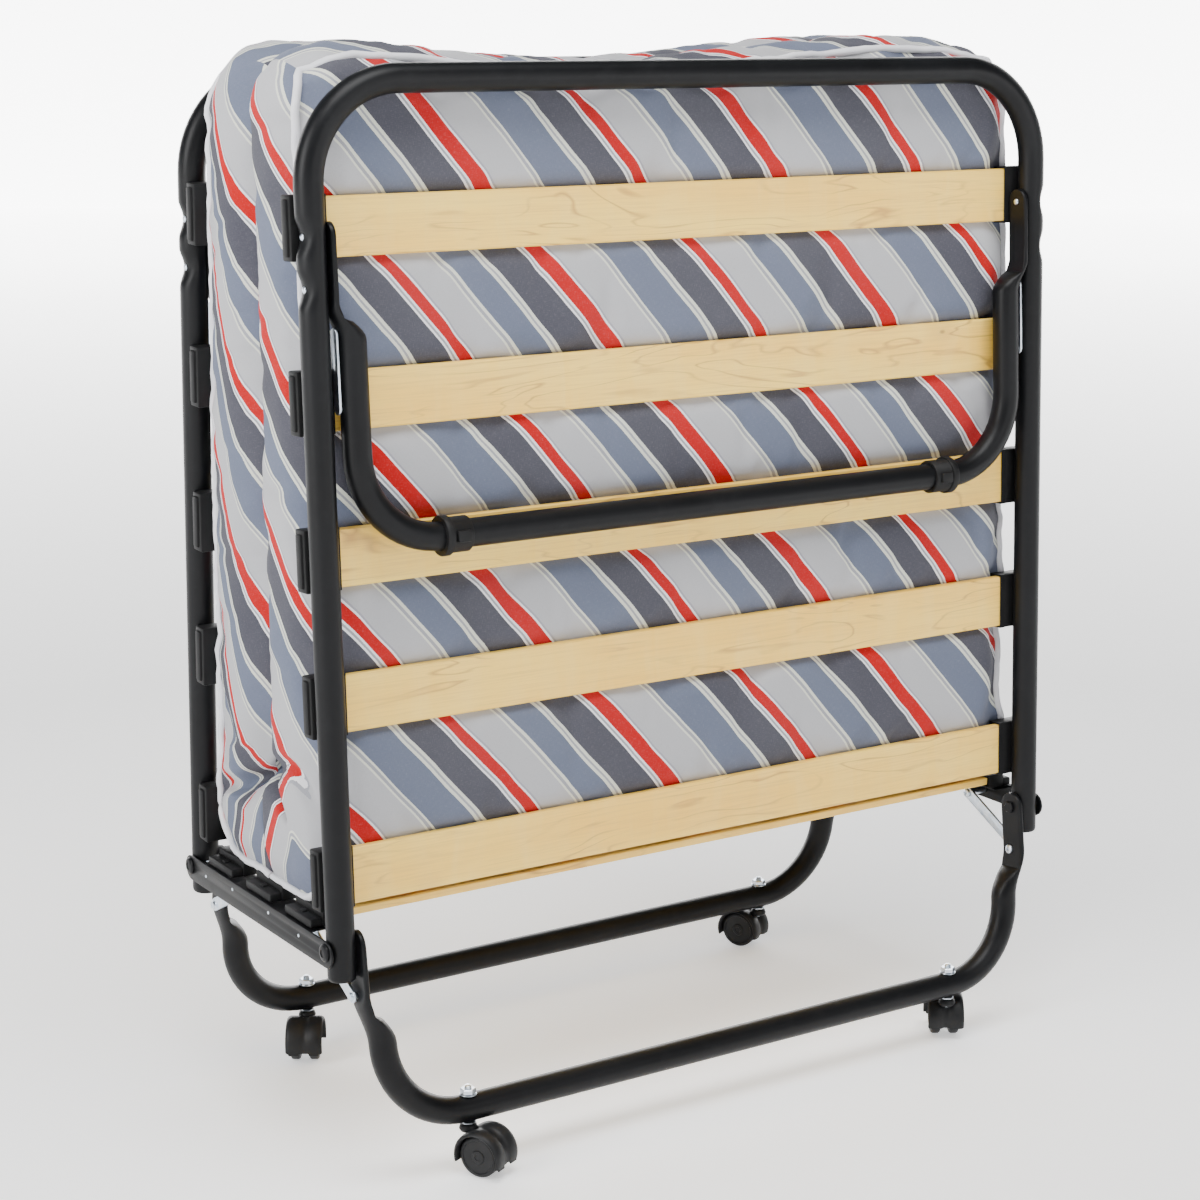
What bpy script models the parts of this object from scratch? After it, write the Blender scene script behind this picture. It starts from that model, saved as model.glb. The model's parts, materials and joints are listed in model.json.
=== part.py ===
"""A folding rollaway bed, standing folded: +Z up, +X to its right, -Y towards its head section.

The middle section stands on two caster legs. The head and foot sections fold up from it around
four bolts, and the mattress is folded in a U between them. The foot side is the head side turned
half a turn about Z, so every mesh of the head side is used again there.
"""
import math

import bmesh
import bpy
from mathutils import Matrix, Vector

# Driving dimensions, in metres.
TUBE_R = 0.0125
FRAME_HALF_WIDTH = 0.3875      # from the middle to the centre line of a frame tube
PIVOT_Y = 0.139                # main hinge axes, front and back of the middle
PIVOT_Z = 0.222
FRAME_RISE = 0.7295            # hinge axis to the centre of the top bar
FRAME_TAIL = 0.0265            # tube below the hinge axis
FRAME_BEND_R = 0.085
LEAN = math.radians(2.2)       # the folded sections lean towards each other

SLAT_HALF_LENGTH = 0.369
SLAT_WIDTH = 0.050
SLAT_THICKNESS = 0.008
SLAT_FACE = 0.0142             # tube centre plane to the slats' outer face
SLAT_CENTRES = (0.611, 0.4675, 0.3355, 0.210, 0.058)     # above the hinge axis
MIDDLE_SLAT_PITCH = 0.080
MIDDLE_SLAT_Z = 0.2367

RAIL_INNER_X = 0.4005
RAIL_THICKNESS = 0.002
RAIL_ABOVE_PIVOT = 0.010
RAIL_BELOW_PIVOT = 0.014
FLANGE_WIDTH = 0.027
FLANGE_HALF_LENGTH = 0.108     # stops short of the tubes' tails as they swing

FLAT_X = 0.372                 # middle of a leg's flattened end
FLAT_HALF_THICKNESS = 0.0025
FLAT_LENGTH = 0.055            # flattened stretch below a leg's pivot
FLARE_LENGTH = 0.026           # from flat to round
LEG_X = 0.355                  # centre line of a leg's upright
LEG_BEND_R = 0.075

CASTER_LEG_DROP_Z = 0.058      # height of the caster bars
CASTER_LEG_OUT = 0.0205        # how far a caster bar stands outside its hinge axis
CASTER_FLAT_HALF_WIDTH = 0.0145
CASTER_X = 0.276

END_LEG_PIVOT_S = 0.6044       # above the main hinge axis, along the frame
END_LEG_DROP = 0.2564
END_LEG_TILT = math.radians(1.3)
END_FLAT_HALF_WIDTH = 0.0120
SLEEVE_X = 0.268
SLEEVE_LENGTH = 0.026

BOLT_R = 0.0032
HOLE_R = 0.0038
RIVET_R = 0.0028
RIVET_HOLE_R = 0.0033
GAP = 0.0003                   # kept between pieces that touch

STAY_TOP = (0.065, 0.217)      # distance from the middle, height
STAY_BOTTOM = (0.141, 0.178)
STAY_INNER_X = 0.3772
STAY_THICKNESS = 0.0025
STAY_HALF_WIDTH = 0.006

WHEEL_R = 0.019
WHEEL_INNER = 0.0045           # distance of a wheel's faces from the caster's middle
WHEEL_OUTER = 0.0155
AXLE_R = 0.0024
CASTER_TRAIL = 0.018
HOOD_HALF_WIDTH = 0.0168
HOOD_OUTER_R = 0.0235
HOOD_INNER_R = 0.0202
HOOD_TOP_Z = 0.0430
SOCKET_LOW_Z = 0.0368          # clear of the wheels beside it
PIN_R = 0.0025                 # the stem's pin in the hood's socket
PIN_LOW_Z = 0.0340
CASTER_TURNS = {"left": (0.46, -0.89), "right": (0.54, 0.84)}   # which way each head caster trails

MATTRESS_HALF_WIDTH = 0.383
MATTRESS_TOP = 0.978
MATTRESS_SPLIT_Z = 0.299       # below this the mattress stays on the middle section

SIDES = 12
SIDE_SIGNS = {"left": -1, "right": 1}


# Scene and materials

def clear_scene():
    for obj in list(bpy.data.objects):
        bpy.data.objects.remove(obj, do_unlink=True)


def make_material(name, colour, roughness, metallic=0.0):
    material = bpy.data.materials.new(name)
    material.use_nodes = True
    shader = material.node_tree.nodes["Principled BSDF"]
    shader.inputs["Base Color"].default_value = (*colour, 1.0)
    shader.inputs["Roughness"].default_value = roughness
    shader.inputs["Metallic"].default_value = metallic
    material.diffuse_color = (*colour, 1.0)
    return material


def make_materials():
    return {
        "tube": make_material("black_powder_coat", (0.018, 0.019, 0.021), 0.42),
        "wood": make_material("birch", (0.78, 0.60, 0.38), 0.5),
        "zinc": make_material("zinc_plate", (0.62, 0.66, 0.70), 0.35, 1.0),
        "plastic": make_material("black_plastic", (0.02, 0.02, 0.022), 0.45),
        "fabric": make_material("striped_cotton", (0.45, 0.46, 0.50), 0.85),
    }


# Objects

def add_empty(name, parent=None, location=(0, 0, 0), turn_x=0.0, turn_z=0.0):
    empty = bpy.data.objects.new(name, None)
    empty.location = location
    empty.rotation_euler = (turn_x, 0.0, turn_z)
    empty.parent = parent
    bpy.context.scene.collection.objects.link(empty)
    return empty


def add_object(name, mesh, material, parent=None, location=(0, 0, 0), turn_z=0.0):
    if not mesh.materials:
        mesh.materials.append(material)
    obj = bpy.data.objects.new(name, mesh)
    obj.location = location
    obj.rotation_euler = (0.0, 0.0, turn_z)
    obj.parent = parent
    bpy.context.scene.collection.objects.link(obj)
    return obj


def finish_mesh(name, bm, smooth=True):
    bmesh.ops.recalc_face_normals(bm, faces=bm.faces)
    mesh = bpy.data.meshes.new(name)
    bm.to_mesh(mesh)
    bm.free()
    if smooth:
        mesh.shade_smooth()
        mesh.set_sharp_from_angle(angle=math.radians(35))
    return mesh


def combine(mesh, tools, operation):
    """The mesh after a Boolean with each of the other meshes in turn."""
    scene = bpy.context.scene.collection
    for tool_mesh in tools:
        base = bpy.data.objects.new("boolean_base", mesh)
        tool = bpy.data.objects.new("boolean_tool", tool_mesh)
        scene.objects.link(base)
        scene.objects.link(tool)
        modifier = base.modifiers.new("boolean", "BOOLEAN")
        modifier.operation = operation
        modifier.solver = "EXACT"
        modifier.object = tool
        graph = bpy.context.evaluated_depsgraph_get()
        mesh = bpy.data.meshes.new_from_object(base.evaluated_get(graph))
        bpy.data.objects.remove(base)
        bpy.data.objects.remove(tool)
    mesh.shade_smooth()
    mesh.set_sharp_from_angle(angle=math.radians(35))
    return mesh


# Shapes

def loft(name, rings):
    """A closed solid through rings of points, with a flat cap on the first and the last."""
    bm = bmesh.new()
    loops = [[bm.verts.new(point) for point in ring] for ring in rings]
    for lower, upper in zip(loops, loops[1:]):
        count = len(lower)
        for i in range(count):
            j = (i + 1) % count
            bm.faces.new((lower[i], lower[j], upper[j], upper[i]))
    bm.faces.new(loops[0])
    bm.faces.new(loops[-1])
    return finish_mesh(name, bm)


def rounded_section(centre, across, depth, half_across, half_depth, power):
    """A ring of points: round at power 2, and close to a rectangle at a high power."""
    ring = []
    for i in range(SIDES):
        angle = 2 * math.pi * (i + 0.5) / SIDES
        u = math.copysign(abs(math.cos(angle)) ** (2 / power), math.cos(angle))
        v = math.copysign(abs(math.sin(angle)) ** (2 / power), math.sin(angle))
        ring.append(Vector(centre) + across * (u * half_across) + depth * (v * half_depth))
    return ring


def turned(name, profile, matrix=Matrix.Identity(4), sides=SIDES):
    """A solid turned about Z from (radius, height) pairs; six flats where the radius is 'hex'."""
    rings = []
    for radius, height, *hexagon in profile:
        ring = []
        for i in range(sides):
            angle = 2 * math.pi * i / sides
            reach = radius
            if hexagon and i % 2:
                reach = radius * math.cos(math.pi / 6)
            ring.append(matrix @ Vector((reach * math.cos(angle), reach * math.sin(angle), height)))
        rings.append(ring)
    return loft(name, rings)


def along_x(start_x, y, z, sign=1):
    """A matrix that lays a turned piece's axis along X, pointing outwards on its own side."""
    turn = Matrix.Rotation(sign * math.pi / 2, 4, "Y")
    return Matrix.Translation((start_x, y, z)) @ turn


def rod_along_x(x0, x1, y, z, radius):
    return turned("rod", [(radius, 0), (radius, x1 - x0)], along_x(x0, y, z))


def extruded(name, outline, direction, bevel=0.0):
    """A prism on a flat outline of points, extruded along a vector."""
    bm = bmesh.new()
    face = bm.faces.new([bm.verts.new(point) for point in outline])
    result = bmesh.ops.extrude_face_region(bm, geom=[face])
    moved = [item for item in result["geom"] if isinstance(item, bmesh.types.BMVert)]
    bmesh.ops.translate(bm, vec=direction, verts=moved)
    bmesh.ops.recalc_face_normals(bm, faces=bm.faces)
    if bevel:
        bmesh.ops.bevel(bm, geom=list(bm.edges), offset=bevel, segments=1, affect="EDGES")
    return finish_mesh(name, bm, smooth=False)


def arc(centre, radius, start, end, steps):
    """Points in a plane on an arc, angles in degrees."""
    points = []
    for i in range(steps + 1):
        angle = math.radians(start + (end - start) * i / steps)
        points.append((centre[0] + radius * math.cos(angle), centre[1] + radius * math.sin(angle)))
    return points


def half_u(stations, bend_centre, bend_r, steps=6):
    """Adds to an upright's stations, given from its end to the bend, those of a quarter bend.

    A station is x, z, the direction across the tube in the XZ plane, half sizes and power.
    """
    rings = list(stations)
    cx, cz = bend_centre
    side = math.copysign(1, stations[-1][0])
    up = math.copysign(1, cz - stations[0][1])
    for i in range(steps + 1):
        angle = math.radians(90 * i / steps)
        across = Vector((side * math.cos(angle), 0, up * math.sin(angle)))
        point = Vector((cx, 0, cz)) + across * bend_r
        rings.append((point.x, point.z, across, TUBE_R, TUBE_R, 2))
    return rings


def u_tube(name, left_half):
    """A U of tube: the stations of its left half, then the same ones mirrored."""
    depth = Vector((0, 1, 0))
    rings = []
    for x, z, across, half_across, half_depth, power in left_half:
        rings.append(rounded_section((x, 0, z), across, depth, half_across, half_depth, power))
    mirrored = [[Vector((-point.x, point.y, point.z)) for point in ring] for ring in reversed(rings)]
    return loft(name, rings + mirrored)


# Frames and legs

def frame_mesh():
    """A section's tube around its hinge axis: X across, Y towards the mattress, Z along the frame."""
    across = Vector((-1, 0, 0))
    x = -FRAME_HALF_WIDTH
    stations = [
        (x, -FRAME_TAIL, across, 0.6 * TUBE_R, 0.6 * TUBE_R, 2),
        (x, -FRAME_TAIL + 0.0015, across, 0.9 * TUBE_R, 0.9 * TUBE_R, 2),
        (x, -FRAME_TAIL + 0.005, across, TUBE_R, TUBE_R, 2),
    ]
    centre = (x + FRAME_BEND_R, FRAME_RISE - FRAME_BEND_R)
    mesh = u_tube("frame_tube", half_u(stations, centre, FRAME_BEND_R, 8))
    holes = []
    for sign in SIDE_SIGNS.values():
        x0 = sign * FRAME_HALF_WIDTH - 0.02
        holes.append(rod_along_x(x0, x0 + 0.04, 0, 0, HOLE_R))
        holes.append(rod_along_x(x0, x0 + 0.04, 0, END_LEG_PIVOT_S, RIVET_HOLE_R))
    return combine(mesh, holes, "DIFFERENCE")


def leg_mesh(name, drop, flat_half_width, hole_r):
    """A U leg hanging from its pivot axis, with flattened ends that lie outside its uprights."""
    across = Vector((-1, 0, 0))
    stations = []
    for degrees in (78, 55, 28, 0):
        reach = math.radians(degrees)
        stations.append((-FLAT_X, flat_half_width * math.sin(reach), across, FLAT_HALF_THICKNESS,
                         flat_half_width * math.cos(reach), 8))
    stations.append((-FLAT_X, -FLAT_LENGTH, across, FLAT_HALF_THICKNESS, flat_half_width, 8))
    for share, power in ((0.33, 5), (0.66, 3), (1.0, 2)):
        ease = share * share * (3 - 2 * share)
        x = -FLAT_X + (FLAT_X - LEG_X) * ease
        half_across = FLAT_HALF_THICKNESS + (TUBE_R - FLAT_HALF_THICKNESS) * ease
        half_depth = flat_half_width + (TUBE_R - flat_half_width) * ease
        z = -FLAT_LENGTH - FLARE_LENGTH * share
        stations.append((x, z, across, half_across, half_depth, power))
    centre = (-LEG_X + LEG_BEND_R, -drop + LEG_BEND_R)
    mesh = u_tube(name, half_u(stations, centre, LEG_BEND_R))
    holes = []
    for sign in SIDE_SIGNS.values():
        x0 = sign * FLAT_X - 0.01
        holes.append(rod_along_x(x0, x0 + 0.02, 0, 0, hole_r))
    return combine(mesh, holes, "DIFFERENCE")


def caster_leg_mesh():
    """The head side's caster leg in the bed's own axes, splayed outwards, drilled for the stems."""
    drop_z = PIVOT_Z - CASTER_LEG_DROP_Z
    mesh = leg_mesh("caster_leg", math.hypot(drop_z, CASTER_LEG_OUT), CASTER_FLAT_HALF_WIDTH, HOLE_R)
    splay = math.atan2(CASTER_LEG_OUT, drop_z)
    mesh.transform(Matrix.Translation((0, -PIVOT_Y, PIVOT_Z)) @ Matrix.Rotation(-splay, 4, "X"))
    holes = []
    for sign in SIDE_SIGNS.values():
        base = Vector((sign * CASTER_X, -PIVOT_Y - CASTER_LEG_OUT, CASTER_LEG_DROP_Z - 0.02))
        holes.append(turned("hole", [(0.0043, 0), (0.0043, 0.04)], Matrix.Translation(base)))
    return combine(mesh, holes, "DIFFERENCE")


# Middle section

def rail_mesh():
    """The right side rail: an upright plate with round ends and a flange along its top."""
    radius = (RAIL_ABOVE_PIVOT + RAIL_BELOW_PIVOT) / 2
    middle_z = PIVOT_Z + RAIL_ABOVE_PIVOT - radius
    front = arc((-PIVOT_Y, middle_z), radius, 270, 90, 8)
    back = arc((PIVOT_Y, middle_z), radius, 90, -90, 8)
    outline = [(RAIL_INNER_X, y, z) for y, z in front + back]
    plate = extruded("side_rail", outline, Vector((RAIL_THICKNESS, 0, 0)))
    top = PIVOT_Z + RAIL_ABOVE_PIVOT
    x0 = RAIL_INNER_X + RAIL_THICKNESS - FLANGE_WIDTH
    x1 = RAIL_INNER_X + RAIL_THICKNESS / 2
    under = top - RAIL_THICKNESS
    near, far = -FLANGE_HALF_LENGTH, FLANGE_HALF_LENGTH
    corners = [(x0, near, under), (x1, near, under), (x1, far, under), (x0, far, under)]
    flange = extruded("flange", corners, Vector((0, 0, RAIL_THICKNESS)))
    mesh = combine(plate, [flange], "UNION")
    holes = [rod_along_x(RAIL_INNER_X - 0.01, RAIL_INNER_X + 0.01, y, PIVOT_Z, HOLE_R)
             for y in (-PIVOT_Y, PIVOT_Y)]
    return combine(mesh, holes, "DIFFERENCE")


def slat_mesh(thickness_axis):
    """A slat about its own centre: long in X, and thin along Y or along Z."""
    half = Vector((SLAT_HALF_LENGTH, SLAT_THICKNESS / 2, SLAT_WIDTH / 2))
    if thickness_axis == "Z":
        half = Vector((half.x, half.z, half.y))
    outline = [(-half.x, -half.y, -half.z), (half.x, -half.y, -half.z),
               (half.x, half.y, -half.z), (-half.x, half.y, -half.z)]
    return extruded("slat", outline, Vector((0, 0, 2 * half.z)), bevel=0.0012)


def hinge_bolt_mesh():
    """The bolt of the head side's right hinge: domed head outside, nut inside the leg's flat end."""
    inner_x = FLAT_X - FLAT_HALF_THICKNESS
    outer_x = RAIL_INNER_X + RAIL_THICKNESS
    length = outer_x - inner_x
    profile = [
        (0.0045, -0.0060), (0.0062, -0.0052), (0.0062, -GAP), (BOLT_R, -GAP),
        (BOLT_R, length + GAP), (0.0078, length + GAP), (0.0072, length + 0.0015),
        (0.0045, length + 0.0026),
    ]
    return turned("hinge_bolt", profile, along_x(inner_x, -PIVOT_Y, PIVOT_Z))


def stay_mesh():
    """The head side's right leg stay: a flat bar from the rail's inner face to the leg's flat end."""
    top = Vector((0, -STAY_TOP[0], STAY_TOP[1]))
    bottom = Vector((0, -STAY_BOTTOM[0], STAY_BOTTOM[1]))
    heading = math.degrees(math.atan2(bottom.z - top.z, bottom.y - top.y))
    outline = arc((top.y, top.z), STAY_HALF_WIDTH, heading + 90, heading + 270, 6)
    outline += arc((bottom.y, bottom.z), STAY_HALF_WIDTH, heading - 90, heading + 90, 6)
    bar = extruded("leg_stay", [(STAY_INNER_X, y, z) for y, z in outline],
                   Vector((STAY_THICKNESS, 0, 0)))
    outer_x = STAY_INNER_X + STAY_THICKNESS
    top_pin = rod_along_x(outer_x - 0.001, RAIL_INNER_X - GAP, top.y, top.z, 0.0035)
    leg_face = FLAT_X + FLAT_HALF_THICKNESS
    bottom_pin = rod_along_x(leg_face + GAP, STAY_INNER_X + 0.001, bottom.y, bottom.z, 0.0035)
    screw = rod_along_x(outer_x - 0.001, outer_x + 0.002, bottom.y, bottom.z, 0.0038)
    return combine(bar, [top_pin, bottom_pin, screw], "UNION")


# End legs' small pieces

def leg_rivet_mesh():
    """The rivet pin of an end leg, on the right side, about the leg's pivot axis."""
    inner_x = FLAT_X - FLAT_HALF_THICKNESS
    outer_x = FRAME_HALF_WIDTH + TUBE_R
    length = outer_x - inner_x
    profile = [
        (0.0030, -0.0024), (0.0055, -0.0016), (0.0055, -GAP), (RIVET_R, -GAP),
        (RIVET_R, length + GAP), (0.0046, length + GAP), (0.0036, length + 0.0015),
    ]
    return turned("end_leg_rivet", profile, along_x(inner_x, 0, 0))


def slide_stay_mesh():
    """The thin sliding stay on the outer side of an end leg's right upright."""
    x0 = LEG_X + TUBE_R + 0.0020
    top = (0, -FLAT_LENGTH - 0.75 * FLARE_LENGTH - 0.005)
    bottom = (0, top[1] - 0.062)
    outline = arc(top, 0.005, 0, 180, 6) + arc(bottom, 0.005, 180, 360, 6)
    bar = extruded("slide_stay", [(x0, y, z) for y, z in outline], Vector((0.0022, 0, 0)))
    pin = rod_along_x(LEG_X + TUBE_R + GAP, x0 + 0.001, 0, bottom[1], 0.0030)
    return combine(bar, [pin], "UNION")


def sleeve_mesh():
    """A plastic foot around an end leg's bar, about its own middle, axis along X."""
    inner = TUBE_R + GAP
    half = SLEEVE_LENGTH / 2
    sections = [(0.0148, -half), (0.0150, half - 0.006), (0.0165, half - 0.0055), (0.0165, half)]
    outer = turned("sleeve", sections, along_x(0, 0, 0), 16)
    bore = turned("bore", [(inner, -half - 0.01), (inner, half + 0.01)], along_x(0, 0, 0), 16)
    return combine(outer, [bore], "DIFFERENCE")


# Casters

def stem_mesh():
    """A caster's stem about its axis, at its real height: pin, collar, threaded rod and hex nut."""
    bar_low = CASTER_LEG_DROP_Z - TUBE_R
    bar_high = CASTER_LEG_DROP_Z + TUBE_R
    profile = [
        (PIN_R, PIN_LOW_Z), (PIN_R, HOOD_TOP_Z + GAP), (0.0068, HOOD_TOP_Z + GAP),
        (0.0068, bar_low - GAP), (0.0038, bar_low - GAP), (0.0038, bar_high + 2 * GAP),
        (0.0075, bar_high + 2 * GAP, "hex"), (0.0075, bar_high + 0.0062, "hex"),
        (0.0038, bar_high + 0.0062), (0.0038, bar_high + 0.0090),
    ]
    return turned("caster_stem", profile)


def hood_mesh():
    """A caster's hood about its stem, trailing towards +X: fender, web, axle and stem socket."""
    centre = (CASTER_TRAIL, WHEEL_R)
    fender_line = arc(centre, HOOD_OUTER_R, -22, 202, 14) + arc(centre, HOOD_INNER_R, 202, -22, 14)
    fender = extruded("caster_hood", [(x, -HOOD_HALF_WIDTH, z) for x, z in fender_line],
                      Vector((0, 2 * HOOD_HALF_WIDTH, 0)))
    web_half = WHEEL_INNER - 2 * GAP
    web_line = arc(centre, (HOOD_OUTER_R + HOOD_INNER_R) / 2, -20, 200, 12)
    web = extruded("web", [(x, -web_half, z) for x, z in web_line], Vector((0, 2 * web_half, 0)))
    lay = Matrix.Translation((centre[0], -WHEEL_OUTER + GAP, centre[1]))
    lay = lay @ Matrix.Rotation(-math.pi / 2, 4, "X")
    axle = turned("axle", [(AXLE_R, 0), (AXLE_R, 2 * (WHEEL_OUTER - GAP))], lay)
    spine_line = [(-0.0055, -web_half, 0.026), (0.006, -web_half, 0.026), (0.006, -web_half, 0.040),
                  (-0.0055, -web_half, 0.040)]
    spine = extruded("spine", spine_line, Vector((0, 2 * web_half, 0)))
    socket = turned("socket", [(0.0070, SOCKET_LOW_Z), (0.0068, HOOD_TOP_Z)])
    mesh = combine(fender, [web, axle, spine, socket], "UNION")
    bore = turned("bore", [(PIN_R + 0.0004, PIN_LOW_Z - GAP), (PIN_R + 0.0004, HOOD_TOP_Z + 0.01)])
    return combine(mesh, [bore], "DIFFERENCE")


def wheel_mesh():
    """A wheel about its own axis along Y, from its inner to its outer face, bored for the axle."""
    half = (WHEEL_OUTER - WHEEL_INNER) / 2
    profile = [(WHEEL_R - 0.0015, -half), (WHEEL_R, -half + 0.0015), (WHEEL_R, half - 0.0015),
               (WHEEL_R - 0.0015, half)]
    lay = Matrix.Rotation(-math.pi / 2, 4, "X")
    disc = turned("caster_wheel", profile, lay, 24)
    bore = turned("bore", [(AXLE_R + 0.0004, -half - 0.01), (AXLE_R + 0.0004, half + 0.01)], lay)
    return combine(disc, [bore], "DIFFERENCE")


# Mattress

def head_mattress_mesh():
    """Half of the folded mattress in the bed's own axes: a wedge between the slats and the fold."""
    clear = SLAT_FACE + SLAT_THICKNESS + 2 * GAP
    low_s = MATTRESS_SPLIT_Z + GAP - PIVOT_Z
    high_s = MATTRESS_TOP - PIVOT_Z
    outline = []
    for s, extra in ((low_s, 0), (high_s - 0.03, 0), (high_s - 0.008, 0.008), (high_s, 0.028)):
        y = -PIVOT_Y + s * math.tan(LEAN) + clear / math.cos(LEAN) + extra
        outline.append((-MATTRESS_HALF_WIDTH, y, PIVOT_Z + s))
    outline.append((-MATTRESS_HALF_WIDTH, -2 * GAP, MATTRESS_TOP))
    outline.append((-MATTRESS_HALF_WIDTH, -2 * GAP, PIVOT_Z + low_s))
    return extruded("mattress_half", outline, Vector((2 * MATTRESS_HALF_WIDTH, 0, 0)))


def middle_mattress_mesh():
    """The fold of the mattress, lying on the middle slats."""
    low = MIDDLE_SLAT_Z + SLAT_THICKNESS + 2 * GAP
    half_line = [(0.060, low), (0.088, low + 0.008), (0.106, low + 0.028), (0.110, MATTRESS_SPLIT_Z)]
    outline = [(-MATTRESS_HALF_WIDTH, y, z) for y, z in half_line]
    outline += [(-MATTRESS_HALF_WIDTH, -y, z) for y, z in reversed(half_line)]
    return extruded("mattress_fold", outline, Vector((2 * MATTRESS_HALF_WIDTH, 0, 0)))


# The assembly

def mirrored_x(mesh):
    """A copy of a right-hand mesh for the left-hand side."""
    bm = bmesh.new()
    bm.from_mesh(mesh)
    bmesh.ops.transform(bm, matrix=Matrix.Scale(-1, 4, (1, 0, 0)), verts=bm.verts)
    bmesh.ops.reverse_faces(bm, faces=bm.faces)
    copy = bpy.data.meshes.new(mesh.name + "_left")
    bm.to_mesh(copy)
    bm.free()
    return copy


def both_hands(mesh):
    return {"left": mirrored_x(mesh), "right": mesh}


def make_meshes():
    return {
        "frame": frame_mesh(),
        "slat": slat_mesh("Y"),
        "end_leg": leg_mesh("end_leg", END_LEG_DROP, END_FLAT_HALF_WIDTH, RIVET_HOLE_R),
        "rivet": both_hands(leg_rivet_mesh()),
        "slide_stay": both_hands(slide_stay_mesh()),
        "sleeve": both_hands(sleeve_mesh()),
        "caster_leg": caster_leg_mesh(),
        "bolt": both_hands(hinge_bolt_mesh()),
        "stay": both_hands(stay_mesh()),
        "stem": stem_mesh(),
        "hood": hood_mesh(),
        "wheel": wheel_mesh(),
        "mattress": head_mattress_mesh(),
    }


def add_middle_section(materials):
    rails = both_hands(rail_mesh())
    for side in SIDE_SIGNS:
        add_object(f"side_rail_{side}", rails[side], materials["tube"])
    slat = slat_mesh("Z")
    for number, step in enumerate((-1, 0, 1), start=1):
        place = (0, step * MIDDLE_SLAT_PITCH, MIDDLE_SLAT_Z + SLAT_THICKNESS / 2)
        add_object(f"middle_slat_{number}", slat, materials["wood"], location=place)
    add_object("mattress_middle", middle_mattress_mesh(), materials["fabric"])


def add_casters(end, side_of, meshes, materials, parent):
    """The two casters of one end; side_of gives the bed's side for each side of the head mesh."""
    for mesh_side, sign in SIDE_SIGNS.items():
        name = f"{end}_{side_of[mesh_side]}"
        stem_place = Vector((sign * CASTER_X, -PIVOT_Y - CASTER_LEG_OUT, 0))
        add_object(f"caster_stem_{name}", meshes["stem"], materials["zinc"], parent, stem_place)
        trail = Vector((*CASTER_TURNS[mesh_side], 0)).normalized()
        turn = math.atan2(trail.y, trail.x)
        add_object(f"caster_hood_{name}", meshes["hood"], materials["plastic"], parent, stem_place, turn)
        axle_line = Vector((-trail.y, trail.x, 0))
        for place, hand in (("a", -1), ("b", 1)):
            offset = trail * CASTER_TRAIL + axle_line * hand * (WHEEL_INNER + WHEEL_OUTER) / 2
            centre = stem_place + offset + Vector((0, 0, WHEEL_R))
            add_object(f"caster_wheel_{name}_{place}", meshes["wheel"], materials["plastic"],
                       parent, centre, turn)


def add_end(end, turn_z, side_of, meshes, materials):
    """The head or foot side: caster leg, stays, bolts, casters, section frame and end leg."""
    base = add_empty(f"{end}_side", turn_z=turn_z)
    add_object(f"caster_leg_{end}", meshes["caster_leg"], materials["tube"], base)
    section = add_empty(f"{end}_section", base, (0, -PIVOT_Y, PIVOT_Z), turn_x=-LEAN)
    leg_pivot = (0, 0, END_LEG_PIVOT_S)
    leg = add_empty(f"{end}_end_leg_pivot", section, leg_pivot, turn_x=-END_LEG_TILT)
    add_object(f"{end}_frame", meshes["frame"], materials["tube"], section)
    for number, centre in enumerate(SLAT_CENTRES, start=1):
        place = (0, SLAT_FACE + SLAT_THICKNESS / 2, centre)
        add_object(f"{end}_slat_{number}", meshes["slat"], materials["wood"], section, place)
    add_object(f"mattress_{end}", meshes["mattress"], materials["fabric"], base)
    add_object(f"{end}_end_leg", meshes["end_leg"], materials["tube"], leg)
    for mesh_side, sign in SIDE_SIGNS.items():
        side = side_of[mesh_side]
        add_object(f"hinge_bolt_{end}_{side}", meshes["bolt"][mesh_side], materials["tube"], base)
        add_object(f"leg_stay_{end}_{side}", meshes["stay"][mesh_side], materials["zinc"], base)
        add_object(f"{end}_leg_rivet_{side}", meshes["rivet"][mesh_side], materials["zinc"],
                   section, leg_pivot)
        add_object(f"{end}_slide_stay_{side}", meshes["slide_stay"][mesh_side], materials["zinc"], leg)
        add_object(f"{end}_sleeve_{side}", meshes["sleeve"][mesh_side], materials["plastic"], leg,
                   (sign * SLEEVE_X, 0, -END_LEG_DROP))
    add_casters(end, side_of, meshes, materials, base)


def build_bed():
    clear_scene()
    materials = make_materials()
    meshes = make_meshes()
    add_middle_section(materials)
    add_end("head", 0.0, {"left": "left", "right": "right"}, meshes, materials)
    add_end("foot", math.pi, {"left": "right", "right": "left"}, meshes, materials)


build_bed()
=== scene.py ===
# %% [markdown]
# # A rollaway bed, folded up for storage
# This lesson dresses a folding guest bed. Its steel sections, casters and slats come from a packed
# CAD model, which stays where it is. Round it we build what the eye sees: drawn tube, moulded
# plastic, lacquered birch and a padded mattress with a printed cotton cover.

import json
import math

import bmesh
import bpy
import numpy as np
from mathutils import Matrix, Vector, noise

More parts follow.
